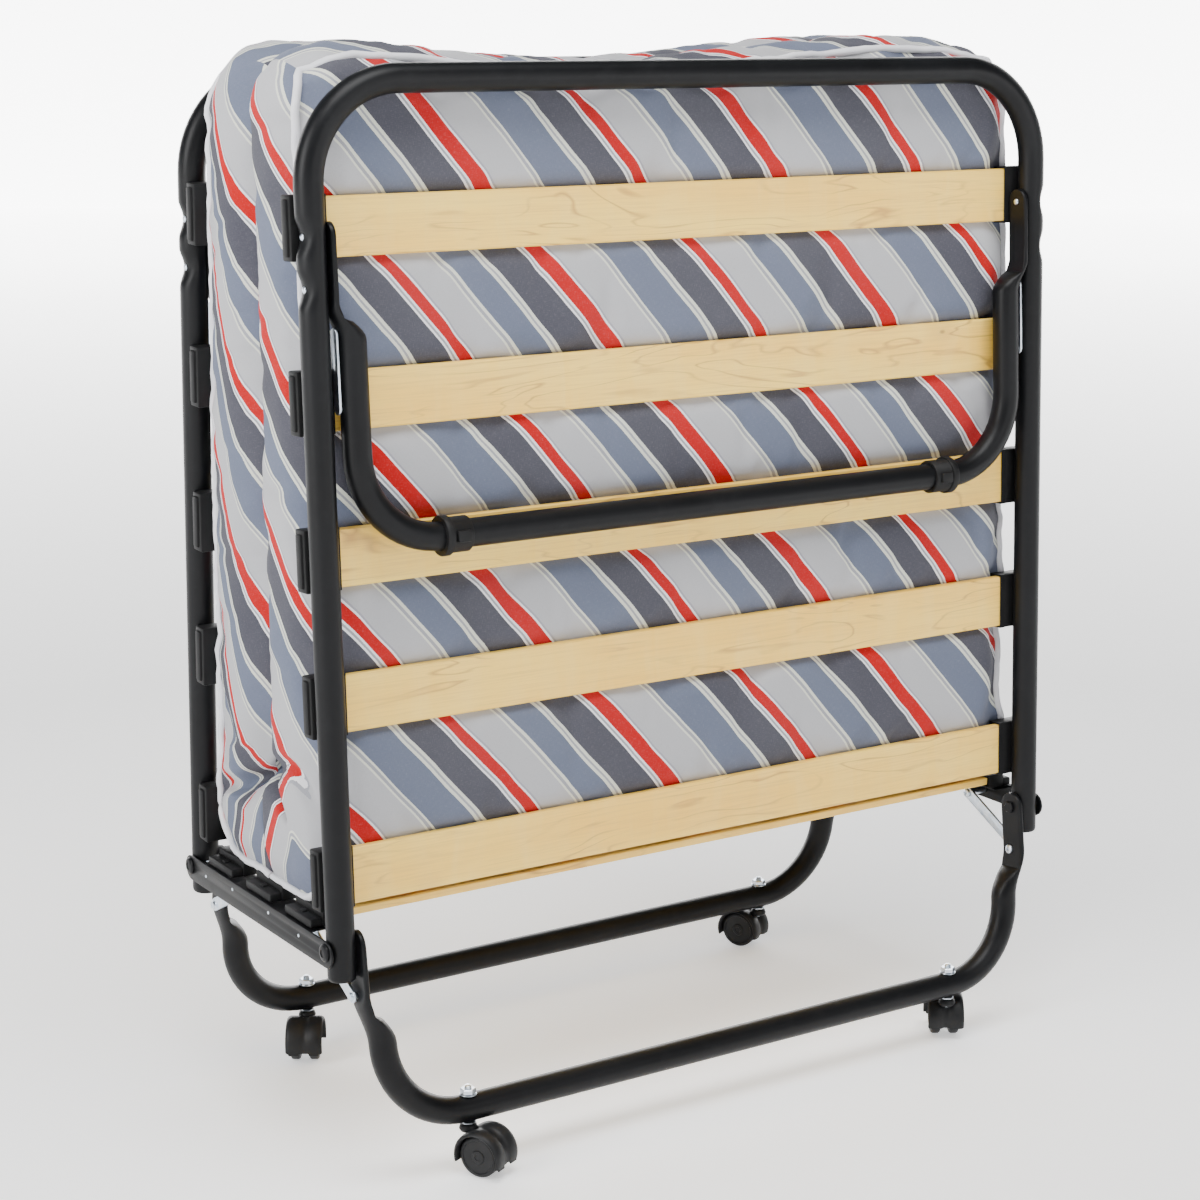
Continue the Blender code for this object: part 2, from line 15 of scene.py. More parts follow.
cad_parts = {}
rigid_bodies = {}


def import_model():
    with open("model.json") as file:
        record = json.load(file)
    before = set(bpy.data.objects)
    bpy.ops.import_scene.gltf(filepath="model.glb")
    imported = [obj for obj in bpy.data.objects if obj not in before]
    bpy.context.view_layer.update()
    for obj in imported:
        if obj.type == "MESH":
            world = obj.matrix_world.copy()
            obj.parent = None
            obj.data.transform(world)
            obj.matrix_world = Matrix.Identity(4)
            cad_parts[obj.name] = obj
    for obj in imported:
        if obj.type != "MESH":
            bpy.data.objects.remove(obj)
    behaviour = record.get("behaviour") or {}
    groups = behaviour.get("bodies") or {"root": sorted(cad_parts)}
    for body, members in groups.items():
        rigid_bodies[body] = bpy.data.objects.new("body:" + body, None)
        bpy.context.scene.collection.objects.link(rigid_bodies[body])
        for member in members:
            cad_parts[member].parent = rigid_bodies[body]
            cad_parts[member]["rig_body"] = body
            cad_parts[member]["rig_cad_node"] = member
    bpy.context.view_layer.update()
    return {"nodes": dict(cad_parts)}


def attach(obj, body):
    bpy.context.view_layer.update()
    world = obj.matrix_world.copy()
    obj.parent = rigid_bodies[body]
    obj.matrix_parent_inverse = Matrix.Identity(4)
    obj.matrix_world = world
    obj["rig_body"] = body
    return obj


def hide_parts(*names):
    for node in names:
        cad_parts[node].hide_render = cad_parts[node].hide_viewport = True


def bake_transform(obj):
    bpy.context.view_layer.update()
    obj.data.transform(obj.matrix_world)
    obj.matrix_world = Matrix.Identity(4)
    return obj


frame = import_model()

# %% [markdown]
# The bed is the same from its head and its foot: the foot side is the head side turned half a turn
# about the upright axis. So each piece is modelled once, on the head side, and copied. These are
# the sizes that the pieces share, in metres, and they match the CAD model.

# %% Shared sizes
TUBE_RADIUS = 0.0125
FRAME_HALF_WIDTH = 0.3875
HINGE_Y = 0.139
HINGE_Z = 0.222
LEAN = math.radians(2.2)
SLAT_FACE = 0.0142
SLAT_THICKNESS = 0.008
SLAT_HEIGHTS = (0.611, 0.4675, 0.3355, 0.210, 0.058)
END_LEG_HEIGHT = 0.6044
END_LEG_TILT = math.radians(1.3)
CASTER_X = 0.276
CASTER_OUT = 0.0205
CASTER_BAR_Z = 0.058

HALF_TURN = Matrix.Rotation(math.pi, 4, "Z")
FLIP_X = Matrix.Scale(-1, 4, (1, 0, 0))
SECTION = Matrix.Translation((0, -HINGE_Y, HINGE_Z)) @ Matrix.Rotation(-LEAN, 4, "X")
END_LEG = SECTION @ Matrix.Translation((0, 0, END_LEG_HEIGHT)) @ Matrix.Rotation(-END_LEG_TILT, 4, "X")
ENDS = {"head": Matrix.Identity(4), "foot": HALF_TURN}

# %% [markdown]
# Operators act on whatever is selected, so every step begins with nothing selected. A finished
# piece keeps its object at the origin and its place in its mesh, as the CAD pieces do: then a
# pattern that reads object coordinates never slides when the bed folds.

# %% Helpers for modelling by hand
def clear_selection():
    """Back to object mode, with nothing selected."""
    if bpy.context.object and bpy.context.object.mode != "OBJECT":
        bpy.ops.object.mode_set(mode="OBJECT")
    bpy.ops.object.select_all(action="DESELECT")


def choose(obj):
    """Selects one object and makes it active."""
    clear_selection()
    obj.select_set(True)
    bpy.context.view_layer.objects.active = obj
    return obj


def new_piece(name):
    """Names the primitive that an operator has just added, and opens it in edit mode."""
    obj = bpy.context.object
    obj.name = obj.data.name = name
    bpy.ops.object.transform_apply(location=True, rotation=True, scale=True)
    bpy.ops.object.mode_set(mode="EDIT")
    bpy.ops.mesh.select_all(action="SELECT")
    return obj


def settle(obj, matrix=Matrix.Identity(4)):
    """Moves a piece by a matrix and applies it, with the faces still pointing outwards."""
    choose(obj)
    obj.matrix_world = matrix @ obj.matrix_world
    bpy.ops.object.transform_apply(location=True, rotation=True, scale=True)
    if matrix.determinant() < 0:
        face_outwards(obj)
    return obj


def face_outwards(obj):
    choose(obj)
    bpy.ops.object.mode_set(mode="EDIT")
    bpy.ops.mesh.select_all(action="SELECT")
    bpy.ops.mesh.normals_make_consistent(inside=False)
    bpy.ops.object.mode_set(mode="OBJECT")


def twin(obj, name, matrix=Matrix.Identity(4)):
    """A copy with its own mesh, moved by a matrix."""
    copy = obj.copy()
    copy.data = obj.data.copy()
    copy.name = copy.data.name = name
    bpy.context.scene.collection.objects.link(copy)
    return settle(copy, matrix)


def pick(obj, test, kind="verts"):
    """In edit mode, selects the vertices, edges or faces whose middle passes a test."""
    mesh = bmesh.from_edit_mesh(obj.data)
    for part in (mesh.verts, mesh.edges, mesh.faces):
        for item in part:
            item.select = False
    for item in getattr(mesh, kind):
        place = item.co if kind == "verts" else sum((v.co for v in item.verts), Vector()) / len(item.verts)
        if test(place):
            item.select_set(True)
    if kind == "verts":
        mesh.select_flush(True)
    bmesh.update_edit_mesh(obj.data)


def finish(obj, smooth_degrees=35, weld=0.00001):
    """Merges doubles, turns the faces outwards and shades smooth up to an angle."""
    choose(obj)
    bpy.ops.object.mode_set(mode="EDIT")
    bpy.ops.mesh.select_all(action="SELECT")
    bpy.ops.mesh.remove_doubles(threshold=weld)
    bpy.ops.mesh.normals_make_consistent(inside=False)
    bpy.ops.object.mode_set(mode="OBJECT")
    bpy.ops.object.shade_smooth_by_angle(angle=math.radians(smooth_degrees))
    return obj


def apply_modifier(obj, kind, **settings):
    choose(obj)
    modifier = obj.modifiers.new(kind.lower(), kind)
    for key, value in settings.items():
        setattr(modifier, key, value)
    bpy.ops.object.modifier_apply(modifier=modifier.name)
    return obj


# %% [markdown]
# Every finish is a procedural material. Shader maths reads best as plain expressions, so a small
# class wraps a socket and overloads the operators: `1 - mask * 0.5` adds its Math nodes by itself.

# %% Shader helpers
class Wire:
    """A shader socket that can be used in an expression."""

    def __init__(self, paint, socket):
        self.paint = paint
        self.socket = socket

    def math(self, operation, *values):
        node = self.paint.node("ShaderNodeMath", {"operation": operation}, dict(enumerate(values)))
        return Wire(self.paint, node.outputs[0])

    def __add__(self, other):
        return self.math("ADD", self, other)

    def __radd__(self, other):
        return self.math("ADD", other, self)

    def __sub__(self, other):
        return self.math("SUBTRACT", self, other)

    def __rsub__(self, other):
        return self.math("SUBTRACT", other, self)

    def __mul__(self, other):
        return self.math("MULTIPLY", self, other)

    def __rmul__(self, other):
        return self.math("MULTIPLY", other, self)

    def __truediv__(self, other):
        return self.math("DIVIDE", self, other)

    def __pow__(self, other):
        return self.math("POWER", self, other)

    def above(self, limit):
        return self.math("GREATER_THAN", self, limit)

    def fraction(self):
        return self.math("FRACT", self)

    def sine(self):
        return self.math("SINE", self)

    def root(self):
        return self.math("SQRT", self)

    def size(self):
        return self.math("ABSOLUTE", self)

    def ramp(self, low, high):
        """From 0 at low to 1 at high, and held there."""
        node = self.paint.node("ShaderNodeMapRange", {"clamp": True},
                               {"Value": self, "From Min": low, "From Max": high})
        return Wire(self.paint, node.outputs["Result"])


class Paint:
    """A new material with its own Principled shader."""

    def __init__(self, name, **fixed):
        self.material = bpy.data.materials.new(name)
        self.material.use_nodes = True
        self.tree = self.material.node_tree
        self.shader = self.tree.nodes["Principled BSDF"]
        for key, value in fixed.items():
            self.shader.inputs[key.replace("_", " ")].default_value = value

    def node(self, kind, settings=None, inputs=None):
        node = self.tree.nodes.new(kind)
        for key, value in (settings or {}).items():
            if key == "stops":
                self.set_stops(node.color_ramp, value)
            else:
                setattr(node, key, value)
        for key, value in (inputs or {}).items():
            if isinstance(value, Wire):
                self.tree.links.new(value.socket, node.inputs[key])
            else:
                node.inputs[key].default_value = value
        return node

    @staticmethod
    def set_stops(ramp, stops):
        ramp.elements[0].position = stops[0][0]
        ramp.elements[0].color = (*stops[0][1], 1)
        ramp.elements[1].position = stops[-1][0]
        ramp.elements[1].color = (*stops[-1][1], 1)
        for place, colour in stops[1:-1]:
            ramp.elements.new(place).color = (*colour, 1)

    def wire(self, kind, output, settings=None, inputs=None):
        return Wire(self, self.node(kind, settings, inputs).outputs[output])

    def coordinates(self, output="Object"):
        return self.wire("ShaderNodeTexCoord", output)

    def split(self, vector):
        node = self.node("ShaderNodeSeparateXYZ", None, {0: vector})
        return [Wire(self, socket) for socket in node.outputs]

    def noise(self, vector, scale, detail=2.0, rough=0.5, twist=0.0):
        return self.wire("ShaderNodeTexNoise", "Fac", None,
                         {"Vector": vector, "Scale": scale, "Detail": detail, "Roughness": rough,
                          "Distortion": twist})

    def stretched(self, vector, scale, move=(0, 0, 0)):
        return self.wire("ShaderNodeMapping", 0, None, {"Vector": vector, "Scale": scale, "Location": move})

    def blend(self, share, one, two, mode="MIX"):
        settings = {"data_type": "RGBA", "blend_type": mode}
        return self.wire("ShaderNodeMix", 2, settings, {0: share, 6: one, 7: two})

    def bump(self, height, distance, strength=1.0, below=None):
        inputs = {"Height": height, "Distance": distance, "Strength": strength}
        if below is not None:
            inputs["Normal"] = below
        return self.wire("ShaderNodeBump", "Normal", None, inputs)

    def into(self, **links):
        for key, value in links.items():
            self.tree.links.new(value.socket, self.shader.inputs[key.replace("_", " ")])
        return self.material


def grey(value, tint=(1, 1, 1)):
    return (value * tint[0], value * tint[1], value * tint[2], 1)


def from_screen(red, green, blue):
    """A colour as a screen names it, 0 to 255, turned into light."""
    return tuple(((c / 255 + 0.055) / 1.055) ** 2.4 if c > 10 else c / 3295 for c in (red, green, blue))


def stain(red, green, blue):
    """The same as an opaque value for a shader."""
    return (*from_screen(red, green, blue), 1)


# %% [markdown]
# The tubes wear a satin black powder coat. Powder melts into a faint orange peel, so the gloss
# breaks up softly, and handling leaves duller and shinier patches. Both come from noise that feeds
# the roughness and a very shallow bump.

# %% Black powder coat
def powder_coat():
    paint = Paint("satin_powder_coat", Specular_IOR_Level=0.18)
    place = paint.coordinates()
    patches = paint.noise(place, 9.0, 3.0)
    peel = paint.noise(place, 900.0, 2.0)
    dust = paint.noise(place, 60.0, 6.0, 0.7).ramp(0.52, 0.78)
    colour = paint.blend(patches.ramp(0.35, 0.7), (0.0030, 0.0032, 0.0038, 1), (0.0052, 0.0056, 0.0066, 1))
    colour = paint.blend(dust * 0.35, colour, (0.012, 0.0125, 0.014, 1))
    rough = 0.34 + patches * 0.10 + dust * 0.08
    normal = paint.bump(peel, 0.00012, 0.55)
    return paint.into(Base_Color=colour, Roughness=rough, Normal=normal)


POWDER_COAT = powder_coat()

# %% [markdown]
# The slat holders, feet and casters are moulded in black plastic. Its gloss is lower and broader
# than the powder coat's, with the fine spark-eroded grain of a mould.

# %% Moulded plastic
COOL = (1, 1.02, 1.08)


def moulded_plastic(name, base, gloss):
    paint = Paint(name, Specular_IOR_Level=0.2)
    place = paint.coordinates()
    grain = paint.noise(place, 1500.0, 2.0)
    cloud = paint.noise(place, 25.0, 4.0, 0.6)
    colour = paint.blend(cloud.ramp(0.3, 0.75), grey(base, COOL), grey(base * 1.9, COOL))
    rough = gloss + cloud * 0.12 + grain * 0.05
    return paint.into(Base_Color=colour, Roughness=rough, Normal=paint.bump(grain, 0.00006, 0.6))


HOLDER_PLASTIC = moulded_plastic("holder_plastic", 0.005, 0.46)
CASTER_PLASTIC = moulded_plastic("caster_plastic", 0.010, 0.36)

# %% [markdown]
# Screws, nuts, stems and stays are zinc plated: a bluish bright metal whose plating is cloudy, with
# fine scratches along it from tumbling in the bath.

# %% Zinc plate
def zinc_plate():
    paint = Paint("zinc_plate", Metallic=1.0)
    place = paint.coordinates()
    cloud = paint.noise(place, 140.0, 4.0, 0.6)
    scratch = paint.noise(paint.stretched(place, (60, 900, 900)), 1.0, 3.0)
    colour = paint.blend(cloud.ramp(0.3, 0.7), (0.52, 0.60, 0.70, 1), (0.78, 0.82, 0.86, 1))
    rough = 0.20 + cloud * 0.16 + scratch * 0.10
    return paint.into(Base_Color=colour, Roughness=rough, Normal=paint.bump(scratch, 0.00008, 0.5))


ZINC = zinc_plate()

# %% [markdown]
# The slats are birch plywood under clear lacquer: a pale honey ground, long fibres, slow bands
# where the veneer was peeled, curly ripples across the fibre, thin contour lines and a few pin
# knots.

# %% Lacquered birch
def lacquered_birch():
    paint = Paint("lacquered_birch", Coat_Roughness=0.30)
    place = paint.coordinates()
    sway = paint.noise(paint.stretched(place, (3.0, 30, 30)), 1.0, 2.0)
    fibre = paint.noise(paint.stretched(place, (14, 700, 700)), 1.0, 4.0, 0.65)
    ripple = paint.noise(paint.stretched(place, (38, 9, 9), (0, 3, 7)), 1.0, 3.0, 0.55, 0.8)
    bands = paint.noise(paint.stretched(place, (4.2, 26, 26), (5, 1, 2)), 1.0, 2.5, 0.5, 0.6)
    contour = ((bands * 8.0).fraction() - 0.5).size()
    line = contour.ramp(0.10, 0.0)
    line = line * paint.noise(place, 11.0).ramp(0.40, 0.58)
    cells = paint.node("ShaderNodeTexVoronoi", {"feature": "F1"},
                       {"Vector": paint.stretched(place, (8.5, 15.0, 15.0), (0.37, 0.2, 0.4)), "Scale": 1.0})
    reach = Wire(paint, cells.outputs["Distance"])
    chance = paint.split(Wire(paint, cells.outputs["Color"]))[0].above(0.72)
    knot = reach.ramp(0.042, 0.012) * chance
    halo = reach.ramp(0.22, 0.02) * chance
    ground = paint.blend(sway.ramp(0.3, 0.7), stain(255, 214, 96), stain(250, 198, 74))
    layers = [
        (ripple.ramp(0.42, 0.72) * 0.25, stain(252, 222, 138)),
        (fibre.ramp(0.45, 0.8) * 0.50, stain(204, 150, 84)),
        (line * 0.62, stain(168, 112, 60)),
        (halo * 0.35, stain(196, 140, 78)),
        (knot * 0.85, stain(90, 54, 30)),
    ]
    for share, colour in layers:
        ground = paint.blend(share, ground, colour)
    height = fibre * 0.6 + ripple * 0.2
    return paint.into(Base_Color=ground, Roughness=0.40 + fibre * 0.14, Coat_Weight=0.12 + sway * 0.10,
                      Normal=paint.bump(height, 0.00018, 0.5))


BIRCH = lacquered_birch()

# %% [markdown]
# The cover is a printed cotton: diagonal stripes in light grey, blue grey and dark grey, with pairs
# of thin cream lines between them, and a red stripe with white edges that comes alternately wide
# and narrow. The pattern reads the mattress's own UV map, which is in metres along and across the
# cloth, so the stripes bend with the cloth over every edge. The slope says how far a stripe moves
# sideways as it comes down.

# %% The printed stripes
STRIPE_SLOPE = 0.90
STRIPE_REPEAT = 0.314
THREAD_PITCH = 0.0011
PRINT_SHIFT = {"head": -0.553, "foot": -0.6593}
INKS = {
    "red": from_screen(176, 0, 0),
    "white": from_screen(226, 225, 228),
    "cream": from_screen(206, 208, 196),
    "light": from_screen(170, 170, 173),
    "mist": from_screen(148, 149, 155),
    "blue": from_screen(94, 101, 120),
    "dark": from_screen(68, 68, 77),
}


def half_repeat(red_width, light_width, blue_width, dark_width):
    """The bands from one red stripe to the next, as (ink, width in millimetres)."""
    pair = [("cream", 3.2), ("mist", 3.0), ("cream", 3.2)]
    return ([("red", red_width), ("white", 2.0), ("mist", 2.8), ("light", light_width)] + pair
            + [("blue", blue_width)] + pair
            + [("dark", dark_width), ("white", 2.6), ("mist", 2.6), ("white", 2.8)])


def stripe_stops():
    bands = half_repeat(17.4, 38.0, 40.5, 33.0) + half_repeat(13.2, 33.0, 32.0, 37.0)
    whole = sum(width for _, width in bands)
    stops = []
    start = 0.0
    for ink, width in bands:
        stops.append((start / whole, INKS[ink]))
        start += width
    return stops


STOPS = stripe_stops()
print("stripe bands", len(STOPS))


def striped_cotton(name, shift):
    paint = Paint(name, Sheen_Weight=0.06, Sheen_Roughness=0.5, Specular_IOR_Level=0.15)
    cloth = paint.wire("ShaderNodeUVMap", 0, {"uv_map": "cloth"})
    across, along, _ = paint.split(cloth)
    place = paint.coordinates()
    wobble = paint.noise(cloth, 26.0, 2.0) * 0.0016 + paint.noise(cloth, 700.0, 1.0) * 0.0008
    phase = ((across + along * STRIPE_SLOPE + wobble + shift) / STRIPE_REPEAT).fraction()
    bands = paint.node("ShaderNodeValToRGB", {"stops": STOPS}, {0: phase})
    bands.color_ramp.interpolation = "CONSTANT"
    print_colour = Wire(paint, bands.outputs[0])
    weft = paint.noise(paint.stretched(cloth, (240, 2600, 1)), 1.0, 2.0, 0.6)
    warp = paint.noise(paint.stretched(cloth, (2600, 240, 1)), 1.0, 2.0, 0.6)
    slub = (weft + warp) * 0.5
    fade = paint.noise(place, 7.0, 3.0)
    colour = paint.blend(slub.ramp(0.52, 0.72) * 0.13, print_colour, (0.55, 0.55, 0.58, 1))
    colour = paint.blend(slub.ramp(0.46, 0.28) * 0.18, colour, (0.04, 0.04, 0.05, 1))
    colour = paint.blend(fade.ramp(0.3, 0.8) * 0.05, colour, (0.45, 0.46, 0.49, 1))
    over = (across * (2 * math.pi / THREAD_PITCH)).sine()
    under = (along * (2 * math.pi / THREAD_PITCH)).sine()
    weave = paint.bump(over * under, 0.00006, 0.35)
    normal = paint.bump(slub + paint.noise(place, 55.0, 3.0) * 0.8, 0.0010, 0.30, weave)
    return paint.into(Base_Color=colour, Roughness=0.80 + slub * 0.15, Normal=normal)


STRIPED = {end: striped_cotton(f"striped_cotton_{end}", shift) for end, shift in PRINT_SHIFT.items()}


def white_cotton():
    paint = Paint("white_piping", Sheen_Weight=0.3, Sheen_Roughness=0.5)
    place = paint.coordinates()
    twill = paint.noise(paint.stretched(place, (900, 900, 900)), 1.0, 3.0, 0.6)
    soil = paint.noise(place, 20.0, 3.0)
    colour = paint.blend(soil.ramp(0.4, 0.8), (0.74, 0.74, 0.77, 1), (0.60, 0.60, 0.64, 1))
    return paint.into(Base_Color=colour, Roughness=0.82 + twill * 0.1, Normal=paint.bump(twill, 0.0003, 0.5))


WHITE_COTTON = white_cotton()

# %% [markdown]
# # Bent tube
# A tube is a ring that is drawn out. We start from a circle, extrude it along a straight run, and
# let Spin carry it round each bend, just as a bender does. Only the left half is drawn: Mirror makes
# the other one, so the two bends are surely alike.

# %% Drawing a tube
def start_ring(name, centre, radius=TUBE_RADIUS, sides=32):
    clear_selection()
    bpy.ops.mesh.primitive_circle_add(vertices=sides, radius=radius, fill_type="NOTHING", location=centre)
    return new_piece(name)


def draw_out(move, centre=None, scale=None):
    """Extrudes the selected ring, then scales the new one about its own centre."""
    bpy.ops.mesh.extrude_region_move(TRANSFORM_OT_translate={"value": move})
    if scale is not None:
        bpy.ops.transform.resize(value=scale, center_override=centre)


def draw_to(x, z_from, z_to, scale=(1, 1, 1), x_to=None):
    """Draws an upright run on to another height, and if wanted to another place across."""
    aside = 0 if x_to is None else x_to - x
    draw_out((aside, 0, z_to - z_from), (x + aside, 0, z_to), scale)


def round_the_bend(centre, turn, degrees=90, steps=16):
    """Carries the ring round a bend: turn is 1 one way and -1 the other."""
    bpy.ops.mesh.spin(steps=steps, angle=math.radians(degrees) * turn, center=centre, axis=(0, 1, 0))


def close_tube(tube):
    """Mirrors the left half, welds the seam and caps both ends."""
    bpy.ops.object.mode_set(mode="OBJECT")
    apply_modifier(tube, "MIRROR", use_axis=(True, False, False), merge_threshold=0.0002)
    bpy.ops.object.mode_set(mode="EDIT")
    bpy.ops.mesh.select_all(action="SELECT")
    bpy.ops.mesh.fill_holes(sides=0)
    bpy.ops.object.mode_set(mode="OBJECT")
    return finish(tube)


# %% [markdown]
# A section's frame is one U of 25 mm tube. Its cut ends below the hinges are swaged slightly
# inwards. Where the end leg is riveted on, and once more below it, a press has dented the tube from
# outside so that the rivet heads sit in the dents.

# %% The section frames
FRAME_RISE = 0.7295
FRAME_TAIL = 0.0265
FRAME_BEND = 0.085
RIVET_DENTS = (END_LEG_HEIGHT, END_LEG_HEIGHT - 0.0425)
DENT_DEPTH = 0.0050
SWAGED_END = ((-0.0004, 1.10), (0.0006, 1.09), (0.003, 1.042))     # rise above the cut, and growth
PLAIN_RINGS = (0.02, 0.2, 0.38, 0.53)
DENTED_RINGS = [0.5395 + 0.0042 * step for step in range(21)]      # close together round the dents


def dent(tube, height, reach=0.017):
    """Pushes in the outer side of both uprights at a height, fading out along the tube."""
    for side in (-1, 1):
        for vert in tube.data.vertices:
            outward = (vert.co.x * side - FRAME_HALF_WIDTH) / TUBE_RADIUS
            away = abs(vert.co.z - height) / reach
            if outward > 0 and away < 1:
                vert.co.x -= side * DENT_DEPTH * outward ** 0.7 * (1 - away * away) ** 2


def make_frame():
    x = -FRAME_HALF_WIDTH
    tube = start_ring("head_section_tube", (x, 0, -FRAME_TAIL), TUBE_RADIUS * 0.80)
    level = -FRAME_TAIL
    for rise, grow in SWAGED_END:
        draw_to(x, level, -FRAME_TAIL + rise, (grow, grow, 1))
        level = -FRAME_TAIL + rise
    for height in (*PLAIN_RINGS, *DENTED_RINGS, FRAME_RISE - FRAME_BEND):
        draw_to(x, level, height)
        level = height
    round_the_bend((x + FRAME_BEND, 0, level), -1)
    draw_out((FRAME_HALF_WIDTH - FRAME_BEND, 0, 0))
    close_tube(tube)
    for height in RIVET_DENTS:
        dent(tube, height)
    return tube


head_tube = settle(make_frame(), SECTION)
FRAME_TUBES = {"head": head_tube, "foot": twin(head_tube, "foot_section_tube", HALF_TURN)}
for end, tube in FRAME_TUBES.items():
    tube.data.materials.append(POWDER_COAT)
    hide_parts(f"{end}_frame")
    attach(tube, f"{end}_section")
print("frame tube", len(head_tube.data.polygons), "faces")

# %% [markdown]
# A leg is the same tube with its two ends squeezed flat, so that each lies against the frame on its
# pivot. The ring starts as the rounded tip of the flat, grows to the full flat width, then flares
# back to round while it shifts inwards. Scaling to nothing against a plane presses the cheeks flat.

# %% The legs
FLAT_X = 0.372
FLAT_HALF = 0.0025
LEG_X = 0.355
LEG_BEND = 0.075
END_LEG_DROP = 0.2564
TIP_STEPS = (80, 66, 50, 34, 17, 0)     # degrees round the rounded tip, down to its full width
FLARE_STEPS = 8


def press_flat(tube, low, high, half):
    """Flattens what stands further out than the half thickness, on both cheeks of the left end."""
    for side in (-1, 1):
        plane = -FLAT_X + side * half
        pick(tube, lambda p: low < p.z < high and p.x < 0 and (p.x - plane) * side > 0)
        bpy.ops.transform.resize(value=(0, 1, 1), center_override=(plane, 0, 0))


def make_leg(name, drop, flat_half_width, flat_length, flare):
    """A leg with pressed flat ends that swell into the round tube, hung from its pivot."""
    thick = 2.2 * FLAT_HALF
    level = math.sin(math.radians(TIP_STEPS[0])) * flat_half_width
    width = math.cos(math.radians(TIP_STEPS[0])) * flat_half_width
    cross = thick * 0.5
    tube = start_ring(name, (-FLAT_X, 0, level), 1.0)
    bpy.ops.transform.resize(value=(cross, width, 1), center_override=(-FLAT_X, 0, level))
    for degrees in TIP_STEPS[1:]:
        height = flat_half_width * math.sin(math.radians(degrees))
        wide = flat_half_width * math.cos(math.radians(degrees))
        now_thick = thick if degrees < 60 else thick * 0.8
        draw_to(-FLAT_X, level, height, (now_thick / cross, wide / width, 1))
        level, width, cross = height, wide, now_thick
    for height in (-0.02, -0.04, -flat_length):
        draw_to(-FLAT_X, level, height)
        level = height
    x = -FLAT_X
    for step in range(1, FLARE_STEPS + 1):
        share = step / FLARE_STEPS
        ease = share * share * (3 - 2 * share)
        height = -flat_length - flare * share
        to_x = -FLAT_X + (FLAT_X - LEG_X) * ease
        now_thick = thick + (TUBE_RADIUS - thick) * ease
        wide = flat_half_width + (TUBE_RADIUS - flat_half_width) * ease
        draw_to(x, level, height, (now_thick / cross, wide / width, 1), to_x)
        level, width, cross, x = height, wide, now_thick, to_x
    corner = -drop + LEG_BEND
    draw_to(x, level, (level + corner) / 2)
    draw_to(x, (level + corner) / 2, corner)
    round_the_bend((x + LEG_BEND, 0, corner), 1)
    draw_out((LEG_X - LEG_BEND, 0, 0))
    press_flat(tube, -flat_length - 0.0005, 0.02, FLAT_HALF)
    for step in (1, 2, 3):
        height = -flat_length - flare * step / FLARE_STEPS
        press_flat(tube, height - 0.0003, height + 0.0003, FLAT_HALF + 0.0010 * step)
    return close_tube(tube)


caster_drop = HINGE_Z - CASTER_BAR_Z
splay = math.atan2(CASTER_OUT, caster_drop)
head_leg = settle(make_leg("head_end_leg_tube", END_LEG_DROP, 0.0120, 0.055, 0.030), END_LEG)
head_caster_leg = make_leg("head_caster_leg_tube", math.hypot(caster_drop, CASTER_OUT), 0.0145, 0.044, 0.046)
settle(head_caster_leg, Matrix.Translation((0, -HINGE_Y, HINGE_Z)) @ Matrix.Rotation(-splay, 4, "X"))
foot_leg = twin(head_leg, "foot_end_leg_tube", HALF_TURN)
foot_caster_leg = twin(head_caster_leg, "foot_caster_leg_tube", HALF_TURN)
for end, leg, low_leg in (("head", head_leg, head_caster_leg), ("foot", foot_leg, foot_caster_leg)):
    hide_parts(f"{end}_end_leg")
    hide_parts(f"caster_leg_{end}")
    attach(leg, f"{end}_legs")
    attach(low_leg, "middle_section")
    for tube in (leg, low_leg):
        tube.data.materials.append(POWDER_COAT)
print("end leg", len(head_leg.data.polygons), "faces")

# %% [markdown]
# Where a CAD piece already has the right shape, it only needs the softened edges that pressing and
# plating leave. A CAD mesh is loose triangles, so a copy is welded and its flat faces dissolved
# first, and then its sharp edges are bevelled.

# %% Softening CAD pieces
def softened(node, name, body, material, width, segments=2, weld=0.00002):
    copy = twin(frame["nodes"][node], name)
    copy.parent = None
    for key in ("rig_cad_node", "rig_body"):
        if key in copy:
            del copy[key]
    copy.data.materials.clear()
    choose(copy)
    bpy.ops.object.mode_set(mode="EDIT")
    bpy.ops.mesh.select_all(action="SELECT")
    bpy.ops.mesh.remove_doubles(threshold=weld)
    bpy.ops.mesh.dissolve_limited(angle_limit=math.radians(1.5))
    bpy.ops.object.mode_set(mode="OBJECT")
    apply_modifier(copy, "BEVEL", width=width, segments=segments, limit_method="ANGLE",
                   angle_limit=math.radians(40), use_clamp_overlap=True)
    finish(copy, 30)
    copy.data.materials.append(material)
    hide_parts(node)
    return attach(copy, body)


PRESSED_EDGE = 0.0006
PLATED_EDGE = 0.0004
for side in ("left", "right"):
    softened(f"side_rail_{side}", f"{side}_rail", "middle_section", POWDER_COAT, PRESSED_EDGE)
    for end in ENDS:
        softened(f"leg_stay_{end}_{side}", f"{end}_{side}_leg_stay", "middle_section", ZINC,
                 PLATED_EDGE)
        softened(f"{end}_slide_stay_{side}", f"{end}_{side}_sliding_stay", f"{end}_legs", ZINC,
                 PLATED_EDGE)
slats = [obj for node, obj in frame["nodes"].items() if "_slat_" in node]
for slat in slats:
    slat.data.materials.clear()
    slat.data.materials.append(BIRCH)
print("slats", len(slats))

# %% [markdown]
# # Slat holders
# Each slat ends in a black plastic cap. On the sections the cap is a block behind the tube with a
# thin lip round the slat's end; on the middle section it is a stepped block that stands on the side
# rail's flange. The CAD model leaves them out, so they are new pieces. Each cap is joined from a
# few blocks, and a block is a cube with its edges bevelled.

